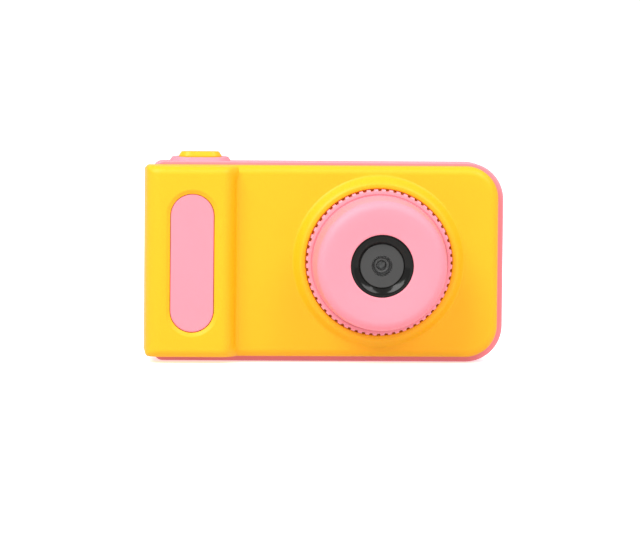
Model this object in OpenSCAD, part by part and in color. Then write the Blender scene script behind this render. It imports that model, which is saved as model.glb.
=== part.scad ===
// Kids digital camera: a front and a rear shell, a knurled play ring round a raised lens,
// a shutter button on top, and a screen with thumb keys on the back.
// The front faces -Y and up is +Z. The origin is under the middle of the whole object.
// Depths are measured back from the flat front face, so a negative depth stands in front of it.

/* [Body] */
// Overall width, from the grip's side to the rear shell's side
body_w = 83; // [82:0.5:86]
// Height of the rear shell at its front rim
body_h = 46.3; // [46:0.1:48]
// Depth of the front shell's side wall
front_wall = 4.5; // [4:0.1:4.8]
// Depth of the rear shell
rear_depth = 14; // [14:0.1:15]
// Thickness of the moulded walls
wall = 1.8; // [1.6:0.1:2]
// Radius of the two large corners of the rear shell
corner_r = 8.5; // [7:0.1:9]

/* [Grip] */
// Width of the raised grip
grip_w = 21.2; // [20:0.1:22]
// How far the grip stands out of the front face
grip_rise = 3.6; // [3:0.1:4]
// Width of the inlay
inlay_w = 10; // [8:0.1:11]
// Length of the inlay
inlay_l = 31.9; // [26:0.1:34]
// How far back the front shell's cheek wraps round the grip side
cheek_depth = 13; // [10:0.5:13]

/* [Lens] */
// Distance of the lens axis from the middle of the camera
lens_x = 12.3; // [11:0.1:13]
// Height of the lens axis
lens_z = 23.6; // [23:0.1:24]
// Reach of the lens cap in front of the front face
lens_reach = 15.5; // [15.2:0.1:16]
// Outer radius of the knurled ring
ring_r = 16.87; // [16.5:0.01:17.2]
// Radius of the bearing that the ring turns on
bearing_r = 12; // [11.8:0.1:12.2]
// Grooves round the knurled ring
grooves = 60; // [40:1:72]

/* [Controls] */
// Middle of the thumb keys
key_x = -25.4; // [-25.6:0.1:-25.2]
// How far the thumb keys stand out of the back
key_proud = 0.8; // [0.6:0.1:1]
// Outer radius of the four arrow keys together
pad_r = 8.6; // [8:0.1:8.6]
// Middle of the shutter button
shutter_x = -28.7; // [-29.2:0.1:-28.2]
// Height of the shutter button's top
shutter_top = 48.2; // [47.8:0.1:48.4]

/* [Screen] */
// Middle of the screen
screen_x = 8.5; // [8:0.1:9]
// Width of the screen's cover window
window_w = 48; // [47:0.5:48]
// Height of the screen's cover window
window_h = 37; // [36:0.5:37]

/* [Hidden] */
$fn = 48;
tiny = 0.05;

back = front_wall + rear_depth;
face_y = (lens_reach - back - key_proud) / 2;
left_x = -body_w / 2;
right_x = body_w / 2;
mid_z = body_h / 2;

// front shell outline
front_x1 = right_x - 1.4;
front_z0 = 1.35;
front_z1 = body_h - 0.75;
front_small_r = 2;
front_large_r = corner_r - 1.1;
edge_r = 1.7;
grip_x1 = left_x + grip_w;
inlay_x = left_x + grip_w / 2;

// rear shell outline and cavity
cheek_t = 1.9;
rear_x0 = left_x + cheek_t + 0.1;
rear_small_r = 2.3;
rear_edge_r = 2.7;
top_draft = 0.5;
cavity_x0 = rear_x0 + 2;
cavity_x1 = right_x - 2.8;
cavity_z0 = 2.7;
cavity_z1 = body_h - 2.9;
back_inside = back - wall;

// lens
boss_r = ring_r + 0.33;
ring_ledge = 1.9;
boss_rise = 2.2;
ring_top = 4.1;
cap_base = ring_top + 0.25;
cap_r = 15.55;
bezel_r = 7.2;
bezel_front = lens_reach - 0.6;
cap_screw_r = 8.7;
cap_screw_angles = [90, 210, 330];

// board stack
board_front = 12.4;
board_back = 13.4;
lcd_front = 14.3;
lcd_back = 16.3;
lcd_w = 46;
lcd_h = 36;
shell_screws_at = [
    [-34.6, 8.1], [-34.6, 38.2], [right_x - 6.5, 6.4], [right_x - 6.5, body_h - 6.6]
];
board_screws_at = [[4.5, 5.4], [4.5, 40.9], [34.5, 23.2]];

// thumb keys
pad_z = 24;
ok_r = 2.9;
small_key_r = 2.1;
menu_at = [key_x - 3.5, 37.2];
play_at = [key_x + 3.5, 37.2];
power_at = [key_x - 3.5, 10.6];
arrow_switch_r = 6.35;
key_gap = 0.2;
speaker_at = [-20.6, 9.3];
led_at = [key_x, 34.4];
mic_at = [-16.4, 40.9];

// shutter
shutter_d = 11;
collar_top = 47;

// right side
usb_z = 30;
usb_d = 11.1;
card_z = 15.05;
card_d = 11.75;
hinge_z = 36.2;
hinge_x = right_x - 0.675;

port_d = 11.4;
hinge_r = 0.45;
cover_w = 5.6;
cover_in = right_x - 1.25;
cover_out = right_x - 0.1;
cover_z0 = 7.6;
usb_w = 7.5;
card_w = 11;
card_x = cover_in - 1.2;

// wall details
grip_floor = 0.3;
inlay_face = grip_rise - 0.55;
inlay_back = inlay_face - 1.2;
peg_z = [-9, 9];
peg_r = 0.8;
peg_back = 1.2;
boss_split = 8.5;
front_boss_r = 2.3;
rear_boss_r = 2.3;
shell_pilot_r = 0.9;
shell_clear_r = 1.15;
head_hole_r = 1.85;
head_seat = back - 1.5;
board_post_r = 1.9;
board_pilot_r = 0.8;
window_seat = back - 1.2;

// lens details
ring_gap = 0.25;
cap_inside = 12.4;
cap_post_r = 1.6;
cap_pilot_r = 0.75;
bezel_seat = bezel_front - 1.3;
bezel_tube_r = 6.65;
window_r = 5.6;
barrel_r = 3.2;
glass_r = 1.7;
flex_slot_z = lens_z - 7;
socket_front = board_front - 1.2;
lcd_flex_x = [-12, -1];

// control details
key_rib = 0.8;
press = 0.5;
switch_back = 15.2;
switch_top = 41.2;
switch_d = board_front - 1.8;
button_w = 9.9;
button_depth = 5.4;
pipe_r = 0.75;
pad_back = 4.2;

// strap pin across a pocket in the grip side
strap_x = rear_x0 + 1.1;
strap_z = 23.2;
strap_d = 15.7;
strap_r = 0.7;
strap_l = 8;
strap_in = cavity_x0 + 2.2;
strap_front = strap_d - 1.7;
strap_back = strap_d + 1.7;

// ---- helpers ----

// one quarter of a circle as points
function corner(cx, cz, r, a0, n = 8) =
    [for (i = [0:n]) [cx + r * cos(a0 + 90 * i / n), cz + r * sin(a0 + 90 * i / n)]];

// a plate with two small corners on the left and two large corners on the right
function plate(x0, x1, z0, z1, rl, rr) = concat(
    corner(x1 - rr, z1 - rr, rr, 0), corner(x0 + rl, z1 - rl, rl, 90),
    corner(x0 + rl, z0 + rl, rl, 180), corner(x1 - rr, z0 + rr, rr, 270)
);

// a ribbon of thickness t along a line of points
function side_of(p, i) = let (
    a = p[max(i - 1, 0)], b = p[min(i + 1, len(p) - 1)], v = b - a
) [-v[1], v[0]] / norm(v);
function ribbon(p, t) = concat(
    [for (i = [0:len(p) - 1]) p[i] + side_of(p, i) * t / 2],
    [for (i = [len(p) - 1:-1:0]) p[i] - side_of(p, i) * t / 2]
);

// a 2D shape in X and Z, made solid between two depths
module slab(d0, d1) {
    translate([0, face_y + d1, 0]) rotate([90, 0, 0]) linear_extrude(d1 - d0) children();
}

// a round bar along Y
module rod(at, r, d0, d1) {
    translate([at[0], face_y + d1, at[1]]) rotate([90, 0, 0]) cylinder(h = d1 - d0, r = r);
}

// a block from its X, Z and depth limits
module block(x, z, d) {
    translate([x[0], face_y + d[0], z[0]]) cube([x[1] - x[0], d[1] - d[0], z[1] - z[0]]);
}

// a profile of radius and reach, turned about the lens axis
module turned(points) {
    translate([lens_x, face_y, lens_z]) rotate([90, 0, 0]) rotate_extrude() polygon(points);
}

// a long round-ended shape, upright in X and Z
module upright_slot(w, l) {
    square([w, l - w], center = true);
    for (s = [-1, 1]) translate([0, s * (l - w) / 2]) circle(w / 2);
}

// a long round-ended shape lying along X, made solid between two heights
module lying_slot(w, depth, z0, z1) {
    translate([shutter_x, face_y + shutter_d, z0]) linear_extrude(z1 - z0) {
        square([w - depth, depth], center = true);
        for (s = [-1, 1]) translate([s * (w - depth) / 2, 0]) circle(depth / 2);
    }
}

// a thin tube along a route of points, which never runs along the direction across
module wire(route, r, sides = 8) {
    across = [0.3, 0.93, 0.2];
    last = len(route) - 1;
    rings = [for (i = [0:last]) let (
        v = route[min(i + 1, last)] - route[max(i - 1, 0)],
        u = cross(v, across) / norm(cross(v, across)),
        w = cross(v, u) / norm(cross(v, u))
    ) for (k = [0:sides - 1]) route[i] + r * (u * cos(360 * k / sides) + w * sin(360 * k / sides))];
    sheet = [for (i = [0:last - 1]) for (k = [0:sides - 1]) let (n = (k + 1) % sides)
        [i * sides + k, i * sides + n, (i + 1) * sides + n, (i + 1) * sides + k]];
    ends = [[for (k = [sides - 1:-1:0]) k], [for (k = [0:sides - 1]) last * sides + k]];
    polyhedron(rings, concat(sheet, ends), convexity = 4);
}

// ---- shells ----

module front_slice(inset, depth, thick = tiny) {
    slab(depth, depth + thick) polygon(plate(
        left_x + inset, front_x1 - inset, front_z0 + inset, front_z1 - inset,
        max(front_small_r - inset, 0.4), front_large_r - inset
    ));
}

module grip_slice(rise, side, ends) {
    slab(-rise, -rise + tiny) polygon(plate(
        left_x + side, grip_x1 - side, front_z0 + ends, front_z1 - ends,
        max(front_small_r - ends, 0.4), 0.4
    ));
}

module front_outside() {
    hull() {
        front_slice(0, edge_r, front_wall - edge_r);
        front_slice(edge_r * 0.3, edge_r * 0.3);
        front_slice(edge_r, 0);
    }
    hull() {
        grip_slice(-1.5, 0, 0);
        grip_slice(grip_rise - 2, 0.4, 0);
        grip_slice(grip_rise - 0.7, 1.4, 0.5);
        grip_slice(grip_rise, 3.2, edge_r);
    }
    // cheek that wraps the grip side of the rear shell
    slab(front_wall - tiny, cheek_depth) difference() {
        polygon(plate(left_x, grip_x1, front_z0, front_z1, front_small_r, 0.4));
        polygon(plate(left_x + cheek_t, grip_x1 + 1, -1, body_h + 1, 0.4, 0.4));
    }
}

// skirt that rises round the play ring
module skirt() {
    skirt_w = 3.1;
    steps = 8;
    turned(concat(
        [[ring_r - 0.45, -0.5], [ring_r - 0.45, ring_ledge], [boss_r, ring_ledge],
            [boss_r, boss_rise - 0.15], [boss_r + 0.2, boss_rise]],
        [for (i = [0:steps]) [
            boss_r + 0.8 + (skirt_w - 0.8) * i / steps,
            boss_rise * pow(cos(90 * i / steps), 1.4)
        ]],
        [[boss_r + skirt_w, -0.5]]
    ));
}

module cap_spots() {
    for (a = cap_screw_angles)
        translate([cap_screw_r * cos(a), 0, cap_screw_r * sin(a)]) children();
}

module front_shell() {
    color("gold") difference() {
        union() {
            difference() {
                front_outside();
                slab(wall, front_wall + 1) polygon(plate(
                    left_x + cheek_t, front_x1 - wall, front_z0 + wall, front_z1 - wall,
                    0.5, front_large_r - wall
                ));
                block([left_x + cheek_t, grip_x1 - 3.8], [front_z0 + wall, front_z1 - wall],
                    [-grip_floor, wall + tiny]);
            }
            skirt();
            // bearing that the ring turns on, and the cap stands on
            turned([[bearing_r - 1.6, -tiny], [bearing_r, -tiny], [bearing_r, cap_base],
                [bearing_r - 1.6, cap_base]]);
            for (s = board_screws_at) rod(s, board_post_r, wall - tiny, board_front);
            for (s = shell_screws_at) rod(s, front_boss_r, wall - tiny, boss_split);
            for (s = peg_z) rod([inlay_x, mid_z + s], 1.9, -grip_floor - tiny, peg_back);
        }
        for (s = board_screws_at) rod(s, board_pilot_r, board_front - 5, board_front + 1);
        for (s = shell_screws_at) rod(s, shell_pilot_r, boss_split - 4.6, boss_split + 1);
        for (s = peg_z) rod([inlay_x, mid_z + s], peg_r, -grip_rise, peg_back + 1);
        cap_spots() rod([lens_x, lens_z], 1, -1, wall + 1);
        block([lens_x - 3.5, lens_x + 3.5], [flex_slot_z - 0.7, flex_slot_z + 0.7], [-1, wall + 1]);
        // pocket for the inlay, with its sloping surround
        translate([inlay_x, 0, mid_z]) {
            slab(-inlay_face, -inlay_back) upright_slot(inlay_w + 0.2, inlay_l + 0.2);
            hull() {
                slab(-grip_rise - tiny, -grip_rise) upright_slot(inlay_w + 2.3, inlay_l + 2.3);
                slab(-inlay_face, -inlay_face + tiny) upright_slot(inlay_w + 0.4, inlay_l + 0.4);
            }
        }
    }
}

module rear_slice(inset, depth, thick = tiny) {
    drop = top_draft * (depth - front_wall) / rear_depth;
    slab(depth, depth + thick) polygon(plate(
        rear_x0 + inset, right_x - inset, inset, body_h - drop - inset,
        max(rear_small_r - inset, 0.5), corner_r - inset
    ));
}

module rear_outside() {
    hull() {
        rear_slice(0, front_wall);
        for (a = [0:22.5:90])
            rear_slice(rear_edge_r * (1 - cos(a)), back - rear_edge_r * (1 - sin(a)) - tiny);
    }
}

// bevelled collar round the shutter button
module collar() {
    hull() {
        lying_slot(14, 9.6, body_h - 1.6, body_h);
        lying_slot(12.8, 8.4, body_h, collar_top);
    }
}

// one quarter of the ring between two radii, clear of the diagonals by a gap
module quarter(r0, r1, gap) {
    reach = gap * sqrt(2);
    intersection() {
        difference() {
            circle(r1);
            circle(r0);
        }
        polygon([[0, reach], [-r1, r1 + reach], [r1, r1 + reach]]);
    }
}

module pad_spot(turn) {
    translate([key_x, 0, pad_z]) rotate([0, -turn, 0]) children();
}

module rear_shell() {
    color("lightpink") difference() {
        union() {
            difference() {
                union() {
                    rear_outside();
                    collar();
                }
                slab(front_wall - 1, back_inside) polygon(plate(
                    cavity_x0, cavity_x1, cavity_z0, cavity_z1, 0.6, corner_r - 2.8
                ));
            }
            for (s = shell_screws_at) rod(s, rear_boss_r, boss_split, back_inside + tiny);
            // housing of the strap pin
            block([cavity_x0 - tiny, strap_in], [strap_z - 4.2, strap_z + 4.2],
                [strap_front - 0.8, back_inside + tiny]);
        }
        for (s = shell_screws_at) {
            rod(s, shell_clear_r, boss_split - 1, back);
            rod(s, head_hole_r, head_seat, back + 1);
        }
        // screen
        slab(window_seat, back + 1) translate([screen_x, mid_z])
            square([window_w + 0.2, window_h + 0.2], center = true);
        slab(back_inside - 1, back) translate([screen_x, mid_z])
            square([window_w - 5, window_h - 4], center = true);
        // thumb keys
        for (turn = [0:90:270])
            pad_spot(turn) slab(back_inside - 1, back + 1) quarter(4, pad_r + key_gap, key_rib / 2);
        rod([key_x, pad_z], ok_r + key_gap, back_inside - 1, back + 1);
        for (s = [menu_at, play_at, power_at])
            rod(s, small_key_r + key_gap, back_inside - 1, back + 1);
        rod(led_at, pipe_r, back_inside - 1, back + 1);
        rod(mic_at, 0.5, back_inside - 1, back + 1);
        // sound holes
        rod(speaker_at, 0.6, back_inside - 1, back + 1);
        for (ring = [1, 2], k = [0:6 * ring - 1])
            rod(speaker_at + 1.75 * ring * [cos(60 * k / ring), sin(60 * k / ring)], 0.55,
                back_inside - 1, back + 1);
        // shutter opening
        lying_slot(button_w + 2 * key_gap, button_depth + 2 * key_gap, cavity_z1 - 1, collar_top + 1);
        // port recess with its two openings and the hinge holes
        block([cover_in - 0.05, right_x + 1], [cover_z0 - 0.15, hinge_z + 0.8],
            [port_d - cover_w / 2 - 0.15, port_d + cover_w / 2 + 0.15]);
        block([cavity_x1 - 1, right_x], [usb_z - usb_w / 2 - 0.2, usb_z + usb_w / 2 + 0.2],
            [usb_d - 1.5, usb_d + 1.5]);
        block([cavity_x1 - 1, right_x], [card_z - card_w / 2 - 0.4, card_z + card_w / 2 + 0.4],
            [card_d - 0.7, card_d + 0.7]);
        rod([hinge_x, hinge_z], hinge_r + 0.05, port_d - cover_w / 2 - 1, port_d + cover_w / 2 + 1);
        // strap pocket with its pin holes
        block([rear_x0 - 1, strap_in - 1], [strap_z - 2.8, strap_z + 2.8], [strap_front, strap_back]);
        translate([strap_x, face_y + strap_d, strap_z - strap_l / 2])
            cylinder(h = strap_l, r = strap_r);
    }
}

module grip_inlay() {
    color("lightpink") {
        translate([inlay_x, 0, mid_z])
            slab(-inlay_face, -inlay_back) upright_slot(inlay_w, inlay_l);
        for (s = peg_z) rod([inlay_x, mid_z + s], peg_r, -inlay_back - tiny, peg_back + 0.3);
    }
}

// ---- lens ----

module focus_ring() {
    pitch = 360 / grooves;
    root_r = ring_r - 0.55;
    teeth_from = ring_ledge + 0.15;
    color("lightpink") difference() {
        translate([lens_x, 0, lens_z]) {
            slab(-ring_top, -teeth_from) polygon([
                for (k = [0:grooves - 1]) for (p = [[-0.3, 1], [0.24, 1], [0.36, 0], [0.58, 0]])
                    (root_r + p[1] * (ring_r - root_r)) * [cos(pitch * (k + p[0])), sin(pitch * (k + p[0]))]
            ]);
            slab(-teeth_from - tiny, -ring_gap) circle(root_r - 0.1);
        }
        rod([lens_x, lens_z], bearing_r + 0.05, -ring_top - 1, 1);
    }
}

module lens_cap() {
    shoulder = 2;
    shoulder_x = cap_r - 0.55 - shoulder;
    color("lightpink") difference() {
        union() {
            turned(concat(
                [[bearing_r - 1.6, cap_base], [cap_r, cap_base], [cap_r, cap_base + 1]],
                [for (a = [0:15:90]) [shoulder_x + shoulder * cos(a),
                    lens_reach - shoulder * (1 - sin(a))]],
                [[bezel_r + 0.05, bezel_front + 0.2], [bezel_r + 0.05, bezel_seat],
                    [bezel_tube_r + 0.1, bezel_seat], [bezel_tube_r + 0.1, cap_inside],
                    [cap_r - 4.4, cap_inside], [cap_r - 2.3, cap_inside - 2.2],
                    [cap_r - 2, cap_base + 1.5], [bearing_r - 1.6, cap_base + 1.5]]
            ));
            cap_spots() rod([lens_x, lens_z], cap_post_r, -cap_inside - tiny, 0);
        }
        cap_spots() rod([lens_x, lens_z], cap_pilot_r, -8, 1);
    }
}

module cap_screws() {
    color("silver") cap_spots() {
        rod([lens_x, lens_z], cap_pilot_r, -6, wall + tiny);
        difference() {
            rod([lens_x, lens_z], 1.45, wall, wall + 1.1);
            cross_recess([lens_x, lens_z], wall + 1.1, 0.6, 1);
        }
    }
}

// cross-shaped driver recess in the back of a screw head that ends at a depth
module cross_recess(at, depth, deep, size) {
    for (w = [[size, 0.25], [0.25, size]])
        block([at[0] - w[0], at[0] + w[0]], [at[1] - w[1], at[1] + w[1]],
            [depth - deep, depth + 1]);
}

module lens_bezel() {
    color("black") turned([
        [5.1, bezel_front - 1.3], [5.75, bezel_front - 0.25], [6.1, bezel_front], [bezel_r, bezel_front],
        [bezel_r, bezel_seat], [bezel_tube_r, bezel_seat], [bezel_tube_r, bezel_front - 2.9],
        [window_r, bezel_front - 2.9], [window_r, bezel_front - 1.6], [5.1, bezel_front - 1.6]
    ]);
}

module lens_window() {
    color("dimgray", 0.6) rod([lens_x, lens_z], window_r, -bezel_front + 1.6, -bezel_front + 2.6);
}

module lens_barrel() {
    color("black") turned([
        [0.95, 11.3], [1.5, 11.55], [1.7, 11.55], [2.3, 12], [barrel_r - 0.3, 12], [barrel_r, 11.7],
        [barrel_r, 5], [glass_r, 5], [glass_r, 10.8], [0.95, 10.8]
    ]);
}

module lens_glass() {
    color("lightsteelblue", 0.7) turned(concat(
        [[0, 7.6], [glass_r, 7.6], [glass_r, 10.8], [0.9, 10.8]],
        [for (a = [30:30:90]) [0.9 * cos(a), 10.8 + 0.42 * sin(a)]]
    ));
}

module lens_holder() {
    color("black") difference() {
        union() {
            translate([lens_x, 0, lens_z]) slab(-4.6, -1) square(9, center = true);
            rod([lens_x, lens_z], barrel_r + 1, -8.4, -4.5);
        }
        rod([lens_x, lens_z], barrel_r, -9, -4.4);
        translate([lens_x, 0, lens_z]) slab(-4.5, 0) square(6.6, center = true);
    }
}

module ir_filter() {
    color("lightcyan", 0.6) translate([lens_x, 0, lens_z]) slab(-4.4, -4.05) square(6.6, center = true);
}

module image_sensor() {
    color("darkslategray") translate([lens_x, 0, lens_z]) slab(-1.9, -1) square([5.6, 5], center = true);
}

module sensor_board() {
    color("darkgreen") translate([lens_x, 0, lens_z]) slab(-1, 0) square([10.4, 11], center = true);
}

// a flat flex of a given width that follows a route of depth and height
module flex(x, route, thick = 0.25) {
    translate([x[0], face_y, 0]) rotate([90, 0, 90]) linear_extrude(x[1] - x[0])
        polygon(ribbon(route, thick));
}

module sensor_flex() {
    color("darkorange") flex([lens_x - 3, lens_x + 3], concat(
        [[-0.5, lens_z - 5.5], [-0.45, flex_slot_z + 0.5]],
        [for (a = [60:30:90]) [0.1 - 0.7 * cos(a), flex_slot_z + 0.2 - 0.3 * sin(a)]],
        [for (a = [90:-30:0]) [1.9 + 0.6 * cos(a), flex_slot_z - 0.85 + 0.75 * sin(a)]],
        [[2.5, 9]],
        [for (a = [180:30:270]) [4.5 + 2 * cos(a), 8.6 + 2 * sin(a)]],
        [[socket_front, 6.6]]
    ));
}

// ---- shutter ----

module shutter_button() {
    color("gold") {
        hull() {
            lying_slot(button_w, button_depth, collar_top - 0.6, shutter_top - 0.8);
            lying_slot(button_w - 1.2, button_depth - 1.2, shutter_top - 0.4, shutter_top);
        }
        lying_slot(button_w, button_depth, cavity_z1 - 0.2, collar_top - 0.5);
        lying_slot(button_w + 1.8, button_depth + 1.6, cavity_z1 - 1.1, cavity_z1 - 0.2);
        translate([shutter_x, face_y + switch_d, switch_top + press]) cylinder(
            h = cavity_z1 - switch_top - 1.5, r = 1);
    }
}

module shutter_switch() {
    color("silver") {
        block([shutter_x - 3, shutter_x + 3], [switch_top - 4.6, switch_top - 1],
            [board_front - 3.6, board_front]);
        translate([shutter_x, face_y + switch_d, switch_top - 1 - tiny])
            cylinder(h = 1 + tiny, r = 0.9);
    }
}

// ---- thumb keys ----

module arrow_key(turn) {
    color("gold") pad_spot(turn) {
        slab(back_inside - 0.2, back + key_proud) quarter(4 + key_gap, pad_r, key_rib / 2 + key_gap);
        slab(back_inside - 0.6, back_inside - 0.15) quarter(3.75, pad_r + 0.5, key_rib / 2 - 0.2);
        slab(switch_back + press, back_inside - 0.5) translate([0, arrow_switch_r]) circle(0.9);
    }
}

module up_key() arrow_key(0);
module left_key() arrow_key(270);
module down_key() arrow_key(180);
module right_key() arrow_key(90);

// a round key with its retaining flange and the stem that reaches its switch
module round_key(at, r, flange) {
    rod(at, r, back_inside - 0.2, back + key_proud);
    rod(at, flange, back_inside - 0.6, back_inside - 0.15);
    rod(at, 0.9, switch_back + press, back_inside - 0.5);
}

module ok_key() {
    color("gold") round_key([key_x, pad_z], ok_r, ok_r + 0.6);
}

module menu_key() {
    color("gold") round_key(menu_at, small_key_r, small_key_r + 0.6);
}

module play_key() {
    color("gold") round_key(play_at, small_key_r, small_key_r + 0.6);
}

module power_key() {
    color("tomato") round_key(power_at, small_key_r, small_key_r + 0.6);
}

module key_switches() {
    arrows = [for (a = [0:90:270]) [key_x, pad_z] + arrow_switch_r * [sin(a), cos(a)]];
    color("silver") for (s = concat(arrows, [[key_x, pad_z], menu_at, play_at, power_at])) {
        translate([s[0], 0, s[1]]) slab(board_back, switch_back - 0.6) square(4, center = true);
        rod(s, 1, switch_back - 0.65, switch_back);
    }
}

// ---- board ----

module main_board() {
    color("darkgreen") difference() {
        slab(board_front, board_back) polygon(plate(
            cavity_x0 + 0.6, cavity_x1 - 0.5, cavity_z0 + 1, cavity_z1 - 0.9, 0.8, corner_r - 3.3
        ));
        for (s = shell_screws_at) rod(s, rear_boss_r + 0.4, board_front - 1, board_back + 1);
        for (s = board_screws_at) rod(s, 1.1, board_front - 1, board_back + 1);
        // room for the shutter button's flange
        block([shutter_x - button_w / 2 - 1.5, shutter_x + button_w / 2 + 1.5],
            [cavity_z1 - 1.9, cavity_z1], [board_front - 1, board_back + 1]);
    }
}

// a part that stands on the front side of the board
module on_front(x, z, tall) {
    block(x, z, [board_front - tall, board_front]);
}

module processor() {
    color("dimgray") on_front([-3, 9], [17, 29], 1.2);
}

module memory_chip() {
    color("dimgray") on_front([15, 23], [19, 25], 1);
}

module crystal() {
    color("silver") on_front([-9, -5.8], [21.8, 24.3], 0.8);
}

module board_parts() {
    color("tan") {
        for (k = [0:5], side = [0, 1])
            on_front([-2.4 + 2 * k, -1.4 + 2 * k], [15 + 15 * side, 16.6 + 15 * side], 0.7);
        for (k = [0:3]) on_front([12, 13.6], [18.4 + 2.4 * k, 19.3 + 2.4 * k], 0.7);
        for (k = [0:4]) on_front([-22 + 2.2 * k, -20.8 + 2.2 * k], [28, 30.2], 0.9);
        on_front([-20, -15], [18, 23], 2);
    }
}

module flex_sockets() {
    color("ivory") {
        block([lens_x - 4.2, lens_x + 4.2], [5.3, 7.9], [socket_front, board_front]);
        block([lcd_flex_x[0] - 1, lcd_flex_x[1] + 1], [4.8, 7.2], [socket_front, board_front]);
        block([-21.5, -17], [33, 37], [board_front - 3.2, board_front]);
    }
}

// round-headed screws with a cross recess, driven from the back
module rear_screws(spots, r, head_r, head_d, head_t, length) {
    for (s = spots) {
        rod(s, r, head_d - length, head_d + tiny);
        difference() {
            rod(s, head_r, head_d, head_d + head_t);
            cross_recess(s, head_d + head_t, head_t * 0.6, head_r * 0.65);
        }
    }
}

module board_screws() {
    color("silver") rear_screws(board_screws_at, board_pilot_r, 1.6, board_back, 0.8, 4.6);
}

module shell_screws() {
    color("silver") rear_screws(shell_screws_at, shell_pilot_r, 1.65, head_seat, 1.2,
        head_seat - boss_split + 4.2);
}

// ---- ports ----

module usb_socket() {
    mouth_x = cover_in - 0.9;
    color("silver") difference() {
        block([mouth_x - 5.6, mouth_x], [usb_z - usb_w / 2, usb_z + usb_w / 2],
            [usb_d - 1.3, usb_d + 1.3]);
        block([mouth_x - 4.8, mouth_x + 1], [usb_z - usb_w / 2 + 0.3, usb_z + usb_w / 2 - 0.3],
            [usb_d - 1, usb_d + 1]);
    }
    color("black") block([mouth_x - 4.9, mouth_x - 0.6], [usb_z - 1.9, usb_z + 1.9],
        [usb_d - 0.9, usb_d - 0.3]);
}

module card_socket() {
    socket_half = card_w / 2 + 0.6;
    color("silver") difference() {
        block([card_x - 12.5, cavity_x1 - 0.3], [card_z - socket_half, card_z + socket_half],
            [card_d - 0.65, board_front]);
        block([card_x - 12, cavity_x1 + 1], [card_z - card_w / 2 - 0.15, card_z + card_w / 2 + 0.15],
            [card_d - 0.45, card_d + 0.45]);
    }
}

module memory_card() {
    color("black") difference() {
        block([card_x - 11.2, card_x], [card_z - card_w / 2, card_z + card_w / 2],
            [card_d - 0.35, card_d + 0.35]);
        block([card_x - 12, card_x - 8], [card_z + card_w / 2 - 1.3, card_z + card_w / 2 + 1],
            [card_d - 1, card_d + 1]);
    }
}

module port_cover() {
    color("lightpink") {
        block([cover_in, cover_out], [cover_z0, hinge_z], [port_d - cover_w / 2, port_d + cover_w / 2]);
        rod([hinge_x, hinge_z], (cover_out - cover_in) / 2, port_d - cover_w / 2, port_d + cover_w / 2);
        rod([hinge_x, hinge_z], hinge_r, port_d - cover_w / 2 - 0.8, port_d + cover_w / 2 + 0.8);
    }
}

// ---- screen ----

module lcd_backlight() {
    color("white") slab(lcd_front, lcd_front + 0.8) translate([screen_x, mid_z])
        square([lcd_w, lcd_h], center = true);
}

module lcd_panel() {
    color("darkslategray") slab(lcd_front + 0.8, lcd_back) translate([screen_x, mid_z])
        square([lcd_w - 0.6, lcd_h - 0.6], center = true);
}

module lcd_flex() {
    low = cavity_z0 + 0.45;
    color("darkorange") flex(lcd_flex_x, concat(
        [[lcd_front + 1.1, mid_z - lcd_h / 2 + 0.3]],
        [for (a = [0:30:90]) [lcd_front + 1.1 - 1.3 * (1 - cos(a)), low + 1.3 - 1.3 * sin(a)]],
        [for (a = [90:30:180]) [board_front - 0.2 + 0.8 * cos(a), low + 0.8 - 0.8 * sin(a)]],
        [[socket_front + 0.2, 4.8]]
    ));
}

module screen_gasket() {
    color("black") slab(lcd_back, back_inside) translate([screen_x, mid_z]) difference() {
        square([lcd_w - 0.6, lcd_h - 0.6], center = true);
        square([window_w - 4.6, window_h - 3.6], center = true);
    }
}

module screen_window() {
    color("dimgray", 0.7) slab(window_seat, back) translate([screen_x, mid_z])
        square([window_w, window_h], center = true);
}

// ---- power and sound ----

module battery() {
    color("silver") slab(pad_back, pad_back + 5.2) polygon(plate(-10, 30, 9.2, 38.2, 1.2, 1.2));
}

module battery_pad() {
    color("black") {
        block([-9, 0.5], [11, 36.5], [wall, pad_back]);
        block([24.2, 29.2], [11, 36.5], [wall, pad_back]);
    }
}

module battery_leads() {
    for (s = [-0.8, 0.8]) color(s < 0 ? "red" : "black") wire([
        [-10.2, face_y + 7 + s, 35.4], [-12, face_y + 7 + s, 35.6], [-13.8, face_y + 8 + s, 35.6],
        [-15.4, face_y + 10.2 + s / 2, 35 + s / 2], [-16.6, face_y + 10.7, 35 + s]
    ], 0.4);
}

module speaker() {
    color("silver") rod(speaker_at, 5, back_inside - 2.9, back_inside - 0.5);
}

module speaker_gasket() {
    color("black") difference() {
        rod(speaker_at, 5, back_inside - 0.5, back_inside);
        rod(speaker_at, 4.3, back_inside - 1, back_inside + 1);
    }
}

module speaker_leads() {
    for (x = [4, 4.9]) color(x > 4 ? "red" : "black") wire([
        [speaker_at[0] + x, face_y + 14.1, 13.1], [speaker_at[0] + x + 0.3, face_y + 14.1, 13.9],
        [speaker_at[0] + x + 0.2, face_y + 13.9, 15], [speaker_at[0] + x, face_y + 13.75, 16]
    ], 0.3);
}

module microphone() {
    color("silver") rod(mic_at, 1.5, board_back, board_back + 2.4);
}

module status_led() {
    color("limegreen") block([led_at[0] - 0.8, led_at[0] + 0.8], [led_at[1] - 0.4, led_at[1] + 0.4],
        [board_back, board_back + 0.8]);
}

module light_pipe() {
    color("white") {
        rod(led_at, pipe_r, back_inside - tiny, back);
        rod(led_at, pipe_r + 0.25, board_back + 1, back_inside);
    }
}

module strap_pin() {
    color("silver") translate([strap_x, face_y + strap_d, strap_z - strap_l / 2])
        cylinder(h = strap_l, r = strap_r);
}

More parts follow.
